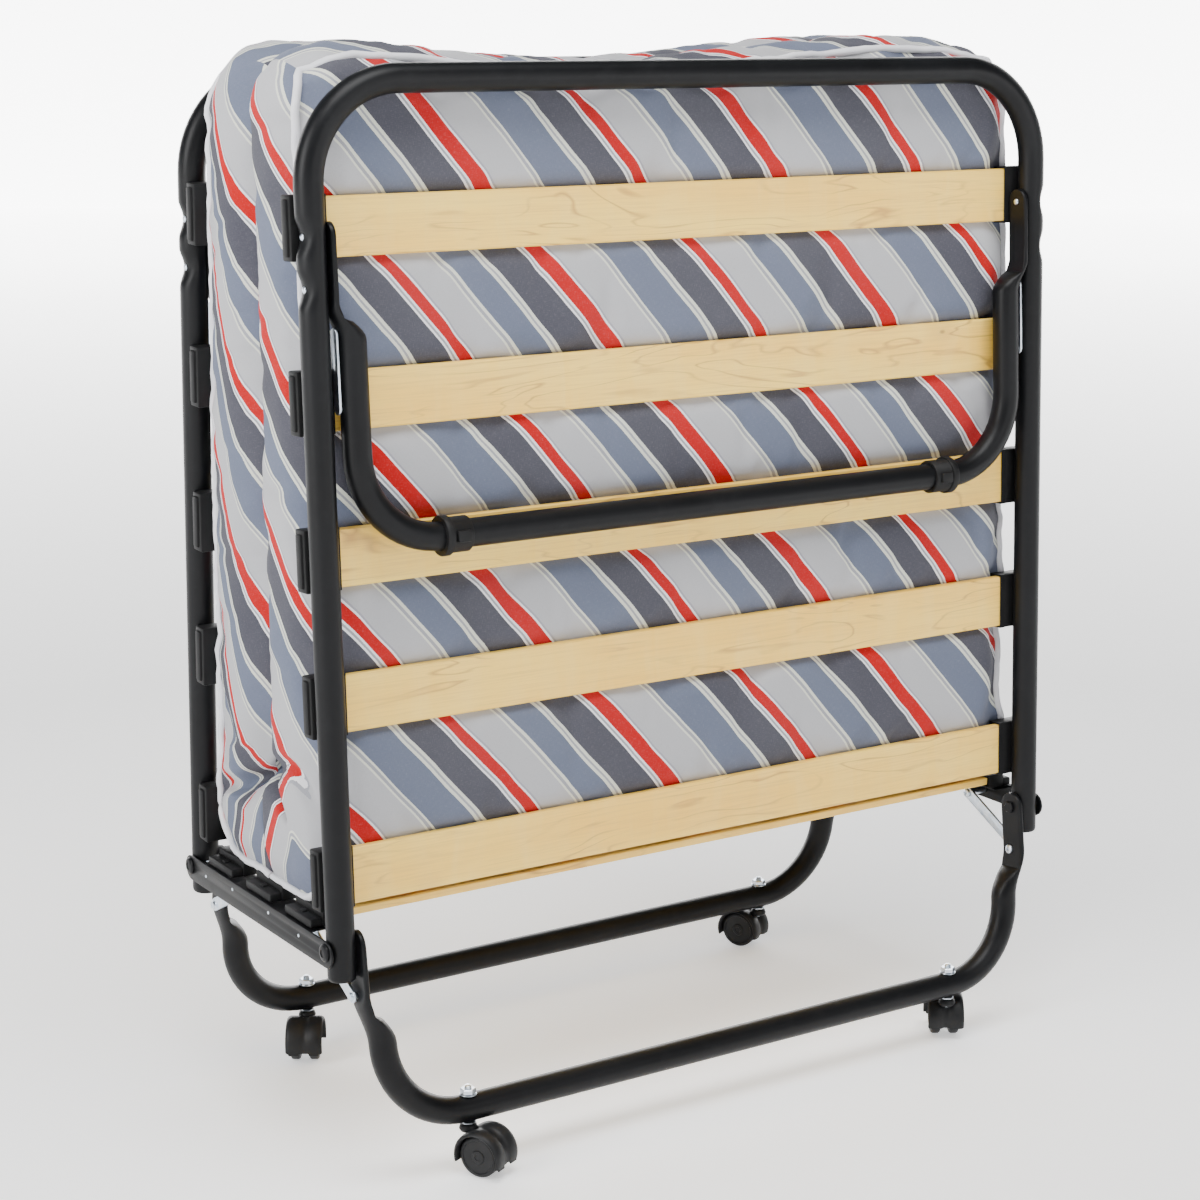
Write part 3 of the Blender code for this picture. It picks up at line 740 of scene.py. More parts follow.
# %% Making the holders
SLAT_END = 0.369
HOLDER_HALF = 0.0270
LIP_X = (0.3655, 0.3712)
MIDDLE_SLATS_Y = (-0.080, 0.0, 0.080)


def rounded_block(name, low, high, bevel, segments=2):
    """A cube between two corners with its edges rounded."""
    clear_selection()
    size = Vector(high) - Vector(low)
    bpy.ops.mesh.primitive_cube_add(size=1.0, location=(Vector(low) + Vector(high)) / 2, scale=size)
    block = new_piece(name)
    bpy.ops.mesh.bevel(offset=bevel, segments=segments, affect="EDGES")
    bpy.ops.object.mode_set(mode="OBJECT")
    return block


def join_all(parts, name):
    """One object from several closed parts."""
    clear_selection()
    for part in parts:
        part.select_set(True)
    bpy.context.view_layer.objects.active = parts[0]
    bpy.ops.object.join()
    whole = bpy.context.object
    whole.name = whole.data.name = name
    return whole


def section_holder():
    """The cap on the right end of a slat, about the slat's own height on the section."""
    back = SLAT_FACE + SLAT_THICKNESS + 0.0004
    half = HOLDER_HALF
    low, high = LIP_X
    cheek = half - 0.0016
    return finish(join_all([
        rounded_block("body", (SLAT_END + 0.0004, 0.0129, -half), (0.3990, 0.0300, half), 0.0016),
        rounded_block("rib", (0.3960, 0.0165, -0.0235), (0.4012, 0.0262, 0.0235), 0.0018),
        rounded_block("front_lip", (low, 0.0128, -half), (high, 0.0138, half), 0.0004, 1),
        rounded_block("back_lip", (low, back, -half), (high, 0.0285, half), 0.0004, 1),
        rounded_block("lower_cheek", (low, 0.0130, -half), (high, 0.0280, -cheek), 0.0003, 1),
        rounded_block("upper_cheek", (low, 0.0130, cheek), (high, 0.0280, half), 0.0003, 1),
    ], "section_holder"), 40)


def middle_holder():
    """The cap on the right end of a middle slat, standing on the rail's flange."""
    half = HOLDER_HALF
    low, high = LIP_X
    return finish(join_all([
        rounded_block("body", (SLAT_END + 0.0004, -half, 0.2324), (0.3880, half, 0.2468), 0.0014),
        rounded_block("step", (0.3860, -0.0255, 0.2324), (0.3992, 0.0255, 0.2405), 0.0016),
        rounded_block("peg", (0.3905, -0.0035, 0.2398), (0.3955, 0.0035, 0.2420), 0.0008),
        rounded_block("top_lip", (low, -half, 0.2451), (high, half, 0.2468), 0.0004, 1),
        rounded_block("under_lip", (low, -half, 0.2345), (high, half, 0.2363), 0.0004, 1),
    ], "middle_holder"), 40)


def place_holder(pattern, name, matrix, body):
    holder = twin(pattern, name, matrix)
    holder.data.materials.append(HOLDER_PLASTIC)
    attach(holder, body)


def remove(*objects):
    for obj in objects:
        bpy.data.objects.remove(obj, do_unlink=True)


holder = section_holder()
for end, turn in ENDS.items():
    for number, height in enumerate(SLAT_HEIGHTS, start=1):
        rise = turn @ SECTION @ Matrix.Translation((0, 0, height))
        place_holder(holder, f"{end}_holder_{number}_a", rise, f"{end}_section")
        place_holder(holder, f"{end}_holder_{number}_b", rise @ FLIP_X, f"{end}_section")
low_holder = middle_holder()
for number, y in enumerate(MIDDLE_SLATS_Y, start=1):
    along = Matrix.Translation((0, y, 0))
    place_holder(low_holder, f"middle_holder_{number}_a", along, "middle_section")
    place_holder(low_holder, f"middle_holder_{number}_b", along @ FLIP_X, "middle_section")
remove(holder, low_holder)

# %% [markdown]
# # Bolts, rivets and screws
# A fastener is turned work: a disc that is extruded and scaled step by step. One helper draws such
# a profile along the upright axis, and a matrix lays it on its side where it is needed.

# %% Turned pieces
def turned(name, profile, sides=24):
    """A closed solid from (radius, height) pairs, drawn upwards from its first disc."""
    clear_selection()
    radius, height = profile[0]
    bpy.ops.mesh.primitive_circle_add(vertices=sides, radius=radius, fill_type="NGON",
                                      location=(0, 0, height))
    piece = new_piece(name)
    for wide, level in profile[1:]:
        grow = wide / radius
        draw_out((0, 0, level - height), (0, 0, level), (grow, grow, 1))
        radius, height = wide, level
    bpy.ops.object.mode_set(mode="OBJECT")
    return finish(piece, 40)


def lying(x, y, z, side=1):
    """Lays an upright piece along X with its top outwards."""
    return Matrix.Translation((x, y, z)) @ Matrix.Rotation(side * math.pi / 2, 4, "Y")


BOLT_HEAD = [(0.0079, 0.0), (0.0080, 0.0007), (0.0078, 0.0014), (0.0070, 0.0021), (0.0055, 0.0026),
             (0.0036, 0.0029), (0.0034, 0.0022), (0.0010, 0.0021)]
HINGE_NUT = [(0.0030, -0.0290), (0.0052, -0.0290), (0.0062, -0.0282), (0.0063, -0.0238), (0.0060, -0.0234),
             (0.0030, -0.0234)]
RIVET_HEAD = [(0.0028, -0.0005), (0.0030, 0.0003), (0.0027, 0.0009), (0.0019, 0.0014), (0.0008, 0.0016)]


fastened = []


def fasten(profile, name, matrix, material, body, node=None, sides=24):
    """Turns a fastener, puts it in its place and names what it rides on."""
    piece = settle(turned(name, profile, sides), matrix)
    piece.data.materials.append(material)
    fastened.append(name)
    if node:
        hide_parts(node)
    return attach(piece, body)


RAIL_FACE = 0.4025
NUT_X = 0.3955
SECTION_SIDE = FRAME_HALF_WIDTH + TUBE_RADIUS
LEG_CHEEK = FLAT_X - FLAT_HALF
SIDES = {"head": {"left": -1, "right": 1}, "foot": {"left": 1, "right": -1}}
for end, turn in ENDS.items():
    for side, sign in SIDES[end].items():
        at_hinge = turn @ lying(sign * (RAIL_FACE + 0.0003), -HINGE_Y, HINGE_Z, sign)
        fasten(BOLT_HEAD, f"hinge_bolt_head_{end}_{side}", at_hinge, POWDER_COAT,
               "middle_section", f"hinge_bolt_{end}_{side}", 32)
        inside = turn @ lying(sign * NUT_X, -HINGE_Y, HINGE_Z, sign)
        fasten(HINGE_NUT, f"hinge_nut_{end}_{side}", inside, POWDER_COAT,
               "middle_section", sides=6)
        for number, height in enumerate(RIVET_DENTS, start=1):
            spot = turn @ SECTION @ lying(sign * (SECTION_SIDE - DENT_DEPTH), 0, height, sign)
            fasten(RIVET_HEAD, f"{end}_dent_rivet_{number}_{side}", spot, ZINC, f"{end}_section",
                   f"{end}_leg_rivet_{side}" if number == 1 else None)
        cheek = turn @ SECTION @ lying(sign * (LEG_CHEEK - 0.0003), 0, END_LEG_HEIGHT, -sign)
        fasten(RIVET_HEAD, f"{end}_leg_rivet_inside_{side}", cheek, ZINC, f"{end}_section")
print("bolts, nuts and rivets", len(fastened))

# %% [markdown]
# The side rail shows four small rivets on its outer face, where the slat holders and the leg stays
# are fixed, and a bright stop rivet on its top near each hinge. Each leg stay ends in a cross-head
# screw: a turned pan head whose cross is cut by pressing two narrow bars into its face.

# %% Rail rivets and stay screws
SMALL_RIVET = [(radius * 0.50, height * 0.45) for radius, height in RIVET_HEAD]
RAIL_RIVETS = ((0.105, 0.221), (0.047, 0.225), (-0.028, 0.225), (-0.088, 0.222))
RAIL_STOPS = (-0.1135, 0.1135)
for side, sign in (("left", -1), ("right", 1)):
    for number, (y, z) in enumerate(RAIL_RIVETS):
        spot = lying(sign * RAIL_FACE, sign * -y, z, sign)
        fasten(SMALL_RIVET, f"rail_rivet_{side}_{number}", spot, ZINC, "middle_section")
    for number, y in enumerate(RAIL_STOPS):
        stop = Matrix.Translation((sign * 0.3968, y, 0.2322))
        fasten(SMALL_RIVET, f"rail_stop_{side}_{number}", stop, ZINC, "middle_section")

SCREW = [(0.0024, -0.0035), (0.0026, -0.0001), (0.0046, 0.0), (0.0047, 0.0009), (0.0042, 0.0020),
         (0.0030, 0.0027), (0.0012, 0.0030)]


def cross_screw():
    head = turned("cross_screw", SCREW, 32)
    for number in range(2):
        cutter = rounded_block("cutter", (-0.0024, -0.00045, 0.0014), (0.0024, 0.00045, 0.0050), 0.0001, 1)
        settle(cutter, Matrix.Rotation(number * math.pi / 2, 4, "Z"))
        apply_modifier(head, "BOOLEAN", operation="DIFFERENCE", solver="EXACT", object=cutter)
        remove(cutter)
    return finish(head, 35)


screw = cross_screw()
STAY_TOP = (0.3770, -0.065, 0.217)
STAY_BOTTOM = (LEG_CHEEK - 0.0002, -0.141, 0.178)
for end, turn in ENDS.items():
    for side, sign in SIDES[end].items():
        for name, (x, y, z) in (("leg", STAY_BOTTOM), ("rail", STAY_TOP)):
            piece = twin(screw, f"{end}_{side}_{name}_screw", turn @ lying(sign * x, y, z, -sign))
            piece.data.materials.append(ZINC)
            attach(piece, "middle_section")
remove(screw)

# %% [markdown]
# # Plastic feet on the end legs
# When the bed is open the end legs stand on two plastic sleeves. A sleeve is a tube with a raised
# collar at its outer end and a small clip on its side.

# %% The sleeves
SLEEVE_X = 0.268
SLEEVE_HALF_LENGTH = 0.0130


def make_sleeve():
    """The right sleeve, about its own middle, with its collar at the top of the upright axis."""
    end = SLEEVE_HALF_LENGTH
    profile = [(0.0151, -end), (0.0156, 0.0006 - end), (0.0156, 0.0052), (0.0160, 0.0058),
               (0.0172, 0.0060), (0.0176, 0.0066), (0.0176, end - 0.0008), (0.0171, end)]
    radius, height = TUBE_RADIUS + 0.0003, -end
    bore = radius
    sleeve = start_ring("sleeve", (0, 0, height), bore, 48)
    for wide, level in profile + [(bore, end)]:
        grow = wide / radius
        draw_out((0, 0, level - height), (0, 0, level), (grow, grow, 1))
        radius, height = wide, level
    draw_out((0, 0, -2 * end))
    bpy.ops.object.mode_set(mode="OBJECT")
    sleeve = finish(sleeve, 40, 0.00005)
    clip = rounded_block("clip", (-0.0050, -0.0188, -0.0090), (0.0050, -0.0140, 0.0040), 0.0012)
    return join_all([sleeve, finish(clip, 40)], "sleeve")


sleeve = make_sleeve()
for end, turn in ENDS.items():
    for side, sign in SIDES[end].items():
        spot = turn @ END_LEG @ lying(sign * SLEEVE_X, 0, -END_LEG_DROP, sign)
        piece = twin(sleeve, f"{end}_leg_foot_{side}", spot)
        piece.data.materials.append(HOLDER_PLASTIC)
        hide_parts(f"{end}_sleeve_{side}")
        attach(piece, f"{end}_legs")
remove(sleeve)

# %% [markdown]
# # Twin-wheel casters
# A caster's hood is one moulding: a rounded fender over both wheels, a web between them and a neck
# for the stem. The fender is a closed profile across the caster that Spin carries round the axle.
# The wheels are turned, with a dished face and a raised hub.

# %% The caster
WHEEL_RADIUS = 0.019
CASTER_TRAIL = 0.018
WHEEL_MIDDLE = 0.0092
AXLE = (CASTER_TRAIL, 0, WHEEL_RADIUS)
FENDER_START = math.radians(-15)
FENDER_SWEEP = math.radians(212)
NECK = [(0.0074, 0.0366), (0.0086, 0.0390), (0.0080, 0.0408), (0.0074, 0.0424), (0.0066, 0.0430)]


def make_fender():
    """The rounded cover over both wheels, carried round the axle from its trailing edge."""
    inner, outer = 0.0203, 0.0235
    half = [(0.0166, inner), (0.0176, inner + 0.0004), (0.0180, 0.0213), (0.0174, 0.0226),
            (0.0158, outer + 0.0001), (0.0130, outer + 0.0005), (0.0060, outer + 0.0003),
            (0.0038, outer - 0.0006), (0.0022, outer - 0.0016)]
    line = half + [(-y, reach) for y, reach in reversed(half)]
    clear_selection()
    bpy.ops.mesh.primitive_circle_add(vertices=len(line), radius=0.01, fill_type="NGON")
    fender = bpy.context.object
    fender.name = fender.data.name = "fender"
    for vert, (y, reach) in zip(fender.data.vertices, line):
        vert.co = (CASTER_TRAIL + reach * math.cos(FENDER_START), y,
                   WHEEL_RADIUS + reach * math.sin(FENDER_START))
    bpy.ops.object.mode_set(mode="EDIT")
    bpy.ops.mesh.select_all(action="SELECT")
    bpy.ops.mesh.spin(steps=28, angle=FENDER_SWEEP, center=AXLE, axis=(0, 1, 0))
    bpy.ops.object.mode_set(mode="OBJECT")
    return finish(fender, 40)


def make_web():
    """The disc between the wheels, cut off level below the axle."""
    web = turned("web", [(0.0212, -0.0036), (0.0216, -0.0030), (0.0216, 0.0030), (0.0212, 0.0036)], 48)
    settle(web, Matrix.Translation(AXLE) @ Matrix.Rotation(math.pi / 2, 4, "X"))
    choose(web)
    bpy.ops.object.mode_set(mode="EDIT")
    bpy.ops.mesh.select_all(action="SELECT")
    bpy.ops.mesh.bisect(plane_co=(CASTER_TRAIL, 0, 0.0125), plane_no=(0, 0, 1), use_fill=True,
                        clear_inner=True)
    bpy.ops.object.mode_set(mode="OBJECT")
    return finish(web, 40)


def make_hood():
    """The whole moulding, with a small brim at the trailing edge over each wheel."""
    parts = [make_fender(), turned("neck", NECK), make_web()]
    for number, sign in enumerate((-1, 1)):
        middle = sign * 0.0100
        parts.append(rounded_block(f"brim_{number}", (CASTER_TRAIL + 0.0212, middle - 0.0050, 0.0108),
                                   (CASTER_TRAIL + 0.0232, middle + 0.0050, 0.0138), 0.0006, 1))
    return join_all(parts, "hood")


def make_wheel():
    """A wheel about the upright axis; its outer face looks up."""
    rim, half = WHEEL_RADIUS, 0.0047
    return turned("wheel", [
        (0.0028, -half), (rim - 0.0022, -half), (rim - 0.0008, -half + 0.0006), (rim, -half + 0.0018),
        (rim, half - 0.0022), (rim - 0.0007, half - 0.0008), (rim - 0.0022, half), (rim - 0.0034, half),
        (rim - 0.0040, half - 0.0009), (0.0066, half - 0.0011), (0.0058, half - 0.0002), (0.0032, half),
        (0.0028, half - 0.0006)], 48)


STEM = [(0.0024, 0.0345), (0.0024, 0.0433), (0.0050, 0.0434), (0.0052, 0.0452), (0.0040, 0.0453)]
WASHER = [(0.0038, 0.0706), (0.0078, 0.0706), (0.0080, 0.0711), (0.0078, 0.0716), (0.0038, 0.0716)]
NUT = [(0.0042, 0.0716), (0.0066, 0.0716), (0.0073, 0.0721), (0.0073, 0.0758), (0.0066, 0.0764),
       (0.0042, 0.0764)]
COLLAR_NUT = [(0.0035, 0.0436), (0.0062, 0.0436), (0.0068, 0.0440), (0.0068, 0.0449), (0.0062, 0.0453),
              (0.0035, 0.0453)]


def threaded_end(low, high, radius=0.0034):
    """A rod with a few thread ridges, as a stack of rings."""
    profile = [(radius * 0.8, low)]
    level = low
    while level < high:
        profile += [(radius, level + 0.0003), (radius * 0.88, level + 0.0006)]
        level += 0.0007
    return profile + [(radius * 0.6, level + 0.0005)]


hood = make_hood()
wheel = make_wheel()
stem_parts = [turned("stem", STEM), turned("washer", WASHER, 32), turned("nut", NUT, 6),
              turned("collar_nut", COLLAR_NUT, 6), turned("thread", threaded_end(0.0700, 0.0785), 20)]
stem = join_all(stem_parts, "stem")
TRAILS = {-1: (0.46, -0.89), 1: (0.54, 0.84)}     # which way a caster trails, left and right
for end, turn in ENDS.items():
    for side, sign in SIDES[end].items():
        corner = f"{end}_{side}"
        across, forward = TRAILS[sign]
        heading = math.atan2(forward, across)
        spot = turn @ Matrix.Translation((sign * CASTER_X, -HINGE_Y - CASTER_OUT, 0))
        pointed = spot @ Matrix.Rotation(heading, 4, "Z")
        made = [(twin(hood, f"caster_{corner}", pointed), f"caster_{corner}", f"caster_hood_{corner}",
                 CASTER_PLASTIC, "black_plastic"),
                (twin(stem, f"stem_{corner}", spot), "middle_section", f"caster_stem_{corner}", ZINC, "zinc")]
        for letter, hand in (("a", -1), ("b", 1)):
            lay = (pointed @ Matrix.Translation((CASTER_TRAIL, hand * WHEEL_MIDDLE, WHEEL_RADIUS))
                   @ Matrix.Rotation(-hand * math.pi / 2, 4, "X"))
            made.append((twin(wheel, f"wheel_{corner}_{letter}", lay), f"wheel_{corner}_{letter}",
                         f"caster_wheel_{corner}_{letter}", CASTER_PLASTIC, "black_plastic"))
        for piece, body, node, material, slot in made:
            piece.data.materials.append(material)
            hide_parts(node)
            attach(piece, body)
print("hood", len(hood.data.polygons), "faces, wheel", len(wheel.data.polygons), "faces")
remove(hood, wheel, stem)

# %% [markdown]
# # The mattress
# The mattress is one foam slab folded double. Each half lies on the middle slats, turns the corner
# behind the section and stands up against its slats. So each half is a slab that is drawn between
# two paths seen from the side: one along its outer face and one along its inner face. The inner
# path dips into a short slit at the bottom of the fold, as a real fold in foam does.

# %% The two paths of one half
MATTRESS_HALF_WIDTH = 0.3835
TOP_CORNER = 0.060
TOP_LEVEL = 0.978
TOP_CROWN = 0.0095
SLAT_BACK = SLAT_FACE + SLAT_THICKNESS
ACROSS, ALONG, THROUGH = 84, 108, 10


def face_line(z, behind=SLAT_BACK + 0.0010):
    """Where the outer face stands at a height, a little behind the slats."""
    return (-HINGE_Y + (z - HINGE_Z) * math.tan(LEAN) + behind / math.cos(LEAN), z)


# The outer and the inner point at each turn of the paths, as (y, z), from the bottom to the top.
STATIONS = [
    ((0.0, 0.2478), (-0.0008, 0.3520)),
    ((-0.030, 0.2478), (-0.0210, 0.3355)),
    ((-0.060, 0.2478), (-0.0400, 0.3205)),
    ((-0.078, 0.2510), (-0.0424, 0.3178)),
    ((-0.096, 0.2640), (-0.0440, 0.3172)),
    ((-0.108, 0.2830), (-0.0446, 0.3188)),
    (face_line(0.3030), (-0.0428, 0.3210)),
    (face_line(0.3300), (-0.0220, 0.3470)),
    (face_line(0.3560), (-0.0008, 0.3720)),
    (face_line(0.4200), (-0.0008, 0.4300)),
    (face_line(0.9380), (-0.0008, 0.9480)),
    ((-0.0855, 0.9550), (-0.0030, 0.9600)),
    ((-0.0770, 0.9665), (-0.0110, 0.9685)),
]
outer = np.array([pair[0] for pair in STATIONS])
inner = np.array([pair[1] for pair in STATIONS])
reach = np.concatenate([[0.0], np.cumsum(np.hypot(*np.diff(outer, axis=0).T))])
inner_reach = np.concatenate([[0.0], np.cumsum(np.hypot(*np.diff(inner, axis=0).T))])
FACE_STARTS = 6       # the station where the outer path reaches the section
TOP_STARTS = 9        # and the one above which its top is padded
face_reach = reach[FACE_STARTS] - outer[FACE_STARTS, 1]
print("outer path", round(reach[-1], 3), "m")

# %% [markdown]
# The slab's surface is a grid of small squares. Its corner points are numbered across the bed,
# along the path and through the thickness, and only the points on the outside are made. The top
# is crowned a little, and its two corners are rounded by squeezing a square into a disc.

# %% The grid of one half
def surface_points():
    """Every grid point on the outside, as rows of (across, along, through)."""
    grid = np.stack(np.meshgrid(np.arange(ACROSS + 1), np.arange(ALONG + 1), np.arange(THROUGH + 1),
                                indexing="ij"), axis=-1).reshape(-1, 3)
    last = np.array([ACROSS, ALONG, THROUGH])
    return grid[((grid == 0) | (grid == last)).any(axis=1)]


def surface_squares():
    """The corner points of every face, with the side it belongs to, wound to face outwards."""
    counts = (ACROSS, ALONG, THROUGH)
    squares = []
    sides = []
    for axis in range(3):
        first, second = [other for other in range(3) if other != axis]
        a, b = np.meshgrid(np.arange(counts[first]), np.arange(counts[second]), indexing="ij")
        for end in (0, counts[axis]):
            corner = np.zeros((a.size, 4, 3), dtype=int)
            corner[:, :, axis] = end
            for number, (da, db) in enumerate(((0, 0), (1, 0), (1, 1), (0, 1))):
                corner[:, number, first] = a.ravel() + da
                corner[:, number, second] = b.ravel() + db
            squares.append(corner)
            sides += [(axis, end > 0)] * a.size
    return np.concatenate(squares), sides


def smooth(value):
    """Eases from 0 to 1 as a value goes from 0 to 1, and holds it there."""
    value = np.clip(value, 0.0, 1.0)
    return value * value * (3 - 2 * value)


def place_points(grid):
    """The resting place of each grid point, before the cloth is puffed up."""
    x = (grid[:, 0] / ACROSS * 2 - 1) * MATTRESS_HALF_WIDTH
    along = grid[:, 1] / ALONG * reach[-1]
    through = grid[:, 2] / THROUGH
    near = np.stack([np.interp(along, reach, outer[:, n]) for n in range(2)], axis=1)
    far = np.stack([np.interp(along, reach, inner[:, n]) for n in range(2)], axis=1)
    y, z = (near + (far - near) * through[:, None]).T
    cap = smooth((along - reach[TOP_STARTS]) / (reach[-1] - reach[TOP_STARTS])) ** 6
    z = z + TOP_CROWN * cap * 4 * through * (1 - through)
    aside = np.clip((np.abs(x) - MATTRESS_HALF_WIDTH + TOP_CORNER) / TOP_CORNER, 0, 1)
    up = np.clip((z - TOP_LEVEL + TOP_CORNER) / TOP_CORNER, 0, 1)
    x = np.sign(x) * (np.abs(x) - TOP_CORNER * aside * (1 - np.sqrt(1 - up * up / 2)))
    z = z - TOP_CORNER * up * (1 - np.sqrt(1 - aside * aside / 2))
    return np.stack([x, y, z], axis=1), along, through


grid = surface_points()
resting, along, through = place_points(grid)
inner_drawn = np.interp(along, reach, inner_reach)
number_of = {tuple(point): number for number, point in enumerate(grid)}
print("grid points", len(grid))

# %% [markdown]
# Foam under a cover is never flat. The cover swells between the slats and is pressed flat behind
# them, it is rolled back at the seams, and it is drawn together where the fold squeezes it. Each
# of these is one small offset of the grid. Noise from a fixed pattern makes them uneven.

# %% Swelling, rolled edges and folds
SECTION_TOP = 0.7400
SLAT_EDGE = 0.0255
LARGEST_SWELL = 0.0078
FOLD_BACK_Y = -0.06
CREST_X = (-0.40, -0.35, -0.29, -0.23, -0.17, -0.11, -0.045, 0.02, 0.09, 0.16, 0.23, 0.30, 0.34, 0.38)
CREST_RISE = (0.006, 0.002, 0.002, -0.005, -0.011, -0.013, -0.017, -0.012, -0.006, -0.001, 0.004, 0.002,
              -0.003, 0.002)


def noise_at(points, scale, shift=0.0):
    """Smooth noise between about -1 and 1 at each point; scale may differ along each axis."""
    spots = points * np.asarray(scale) + shift
    return np.array([noise.noise(Vector(spot)) for spot in spots])


def section_height(z):
    """How far up the leaning section a level lies, from its hinge."""
    return (z - HINGE_Z) / math.cos(LEAN)


def swell_between_slats(height):
    """How far the cover bulges forward at a height along the section, in metres."""
    swell = np.zeros(len(height))
    for low, high in zip(SLAT_HEIGHTS[::-1], (*SLAT_HEIGHTS[-2::-1], SECTION_TOP)):
        start = low + SLAT_EDGE
        stop = high - (SLAT_EDGE if high < SECTION_TOP else 0.0)
        share = np.clip((height - start) / (stop - start), 0, 1)
        most = min(LARGEST_SWELL, 0.09 * (stop - start))
        swell = np.maximum(swell, most * (4 * share * (1 - share)) ** 0.6)
    return swell


def fold_level(y, near):
    """The height of the fold on the side of the cover: below it, the cloth is turned over."""
    if near:
        return 0.368 - np.where(y > FOLD_BACK_Y, 0.38, 0.80) * np.abs(y - FOLD_BACK_Y)
    return 0.345 - 0.38 * np.abs(y)


def shape_half(points, along, through, seed, near):
    """The offsets that turn the plain slab into one half of the mattress."""
    x, y, z = points.T.copy()
    standing = smooth((z - 0.285) / 0.05)
    on_side = smooth((np.abs(x) - 0.30) / 0.07) * smooth(through * 3)

    # The front swells between the slats, and rolls back at its two edges.
    roll = smooth((np.abs(x) - 0.346) / 0.036)
    uneven = 1 + 0.25 * noise_at(points, (5, 5, 6), seed)
    swell = swell_between_slats(section_height(z)) * uneven * (1 - roll)
    y = y - swell * (1 - through) ** 3 * standing
    y = y + 0.0105 * roll * (1 - through) ** 2 * standing

    # The sides have a belly, and are tucked in where the foam is squeezed.
    belly = np.sin(np.pi * np.clip(through, 0, 1) ** 0.8)
    side = np.sign(x) * smooth((np.abs(x) - 0.20) / 0.18)
    if near:
        tuck = 0.012 * smooth((through - 0.88) / 0.12) - 0.003 * through
    else:
        tuck = 0.017 * smooth((through - 0.50) / 0.42) - 0.0035
    x = x + side * (0.006 * belly - 0.003 * (1 - through) ** 2 - tuck) * standing

    # A sharp valley marks the fold, with a bulge under it.
    below = fold_level(y, near) - z
    bulge = 0.008 * smooth(below / 0.014) - 0.011 * np.exp(-(below / 0.008) ** 2)
    x = x + np.sign(x) * on_side * bulge
    slack = noise_at(points, (3, 9, 7), seed + 20)
    x = x + side * 0.0035 * slack * np.clip(through * 3, 0, 1)

    # The top sags in the middle of the bed.
    top = smooth((z - 0.93) / 0.04)
    wave = noise_at(points, (6, 5, 0), seed + 40)
    z = z + top * (0.0016 * wave + np.interp(x if near else -x, CREST_X, CREST_RISE))
    return np.stack([x, y, z], axis=1)


def pucker(points, normals, seed):
    """Small gathers: across every seam, and where the fold bunches the side of the cover."""
    x, z = np.abs(points[:, 0]), points[:, 2]
    fine = noise_at(points, (70, 70, 70), seed)
    middle = noise_at(points, (24, 24, 40), seed + 9)
    near_front = np.exp(-grid[:, 2] / 3.0)
    edge = np.exp(-(MATTRESS_HALF_WIDTH - x) / 0.030) * near_front
    rim = np.exp(-np.abs(grid[:, 1] - ALONG) / 5.0) * near_front
    gathers = (edge + rim) * (0.0016 * fine + 0.0014 * middle)
    crush = np.exp(-((z - 0.40) / 0.07) ** 2) * smooth((x - 0.30) / 0.07)
    ripples = noise_at(points, (12, 14, 46), seed + 31)
    soft = noise_at(points, (9, 9, 9), seed + 60)
    amount = gathers + crush * 0.0055 * ripples + 0.0016 * soft + 0.0008 * middle + 0.0005 * fine
    return points + normals * amount[:, None]


# %% [markdown]
# Each face also gets its place on the cloth, in metres: the front panel counts from the middle of
# the bed, and the side bands go on round the corner from there. Below the fold the cloth is turned
# over, so its places run backwards. On the far half's side the cloth is drawn slantwise, quickly at
# first and slowly near the valley between the halves.

# %% Where each face lies on the cloth
THICKNESS_DRAWN = 0.112
SEAM_DEPTH = 0.114
SEAM_SHIFT = 0.043
TOP_SHIFT = -0.088
VALLEY_DEPTHS = (0.0, 0.015, 0.082, 0.114)
VALLEY_DRAWN = (-0.049, -0.019, 0.141, 0.176)


def place_on_side(y, z, far, near):
    """Where a point of a side band lies on the cloth."""
    fold = fold_level(y, near)
    level = z if z > fold else 2 * fold - z
    depth = y + SEAM_DEPTH
    if near:
        across = SEAM_SHIFT - MATTRESS_HALF_WIDTH - depth
    else:
        across = MATTRESS_HALF_WIDTH + np.interp(depth, VALLEY_DEPTHS, VALLEY_DRAWN)
    return (-across if far == near else across, level)


def lay_cloth(mesh, sides, near):
    """Writes the UV map named cloth, in metres."""
    layer = mesh.uv_layers.new(name="cloth")
    for polygon in mesh.polygons:
        axis, far = sides[polygon.index]
        for loop in polygon.loop_indices:
            number = mesh.loops[loop].vertex_index
            x, y, z = resting[number]
            if axis == 0:
                place = place_on_side(y, z, far, near)
            elif axis == 1:
                place = (x + TOP_SHIFT, reach[-1] - face_reach + through[number] * THICKNESS_DRAWN)
            else:
                place = (x, inner_drawn[number] if far else along[number] - face_reach)
            layer.data[loop].uv = place


def half_mesh(name, seed, near):
    """One half of the mattress as a closed mesh on its resting grid."""
    squares, sides = surface_squares()
    corners = [[number_of[tuple(corner)] for corner in square] for square in squares]
    mesh = bpy.data.meshes.new(name)
    mesh.from_pydata(shape_half(resting, along, through, seed, near).tolist(), [], corners)
    half = bpy.data.objects.new(name, mesh)
    bpy.context.scene.collection.objects.link(half)
    lay_cloth(mesh, sides, near)
    face_outwards(half)
    return half


# %% [markdown]
# The cloth simulation then puffs the cover over its foam: air pressure inside, no gravity, and a
# little too much cloth, so that it creases. The bottom and the seams are held. The result may move
# no point further than a set distance, and it is pressed back behind the slats and off the other
# half.

# %% Puffing the cover
LARGEST_MOVE = 0.012
PUFF_FRAMES = 20


def read_points(mesh):
    return np.array([vert.co[:] for vert in mesh.vertices])


def write_points(mesh, points):
    mesh.vertices.foreach_set("co", points.astype(np.float32).ravel())
    mesh.update()


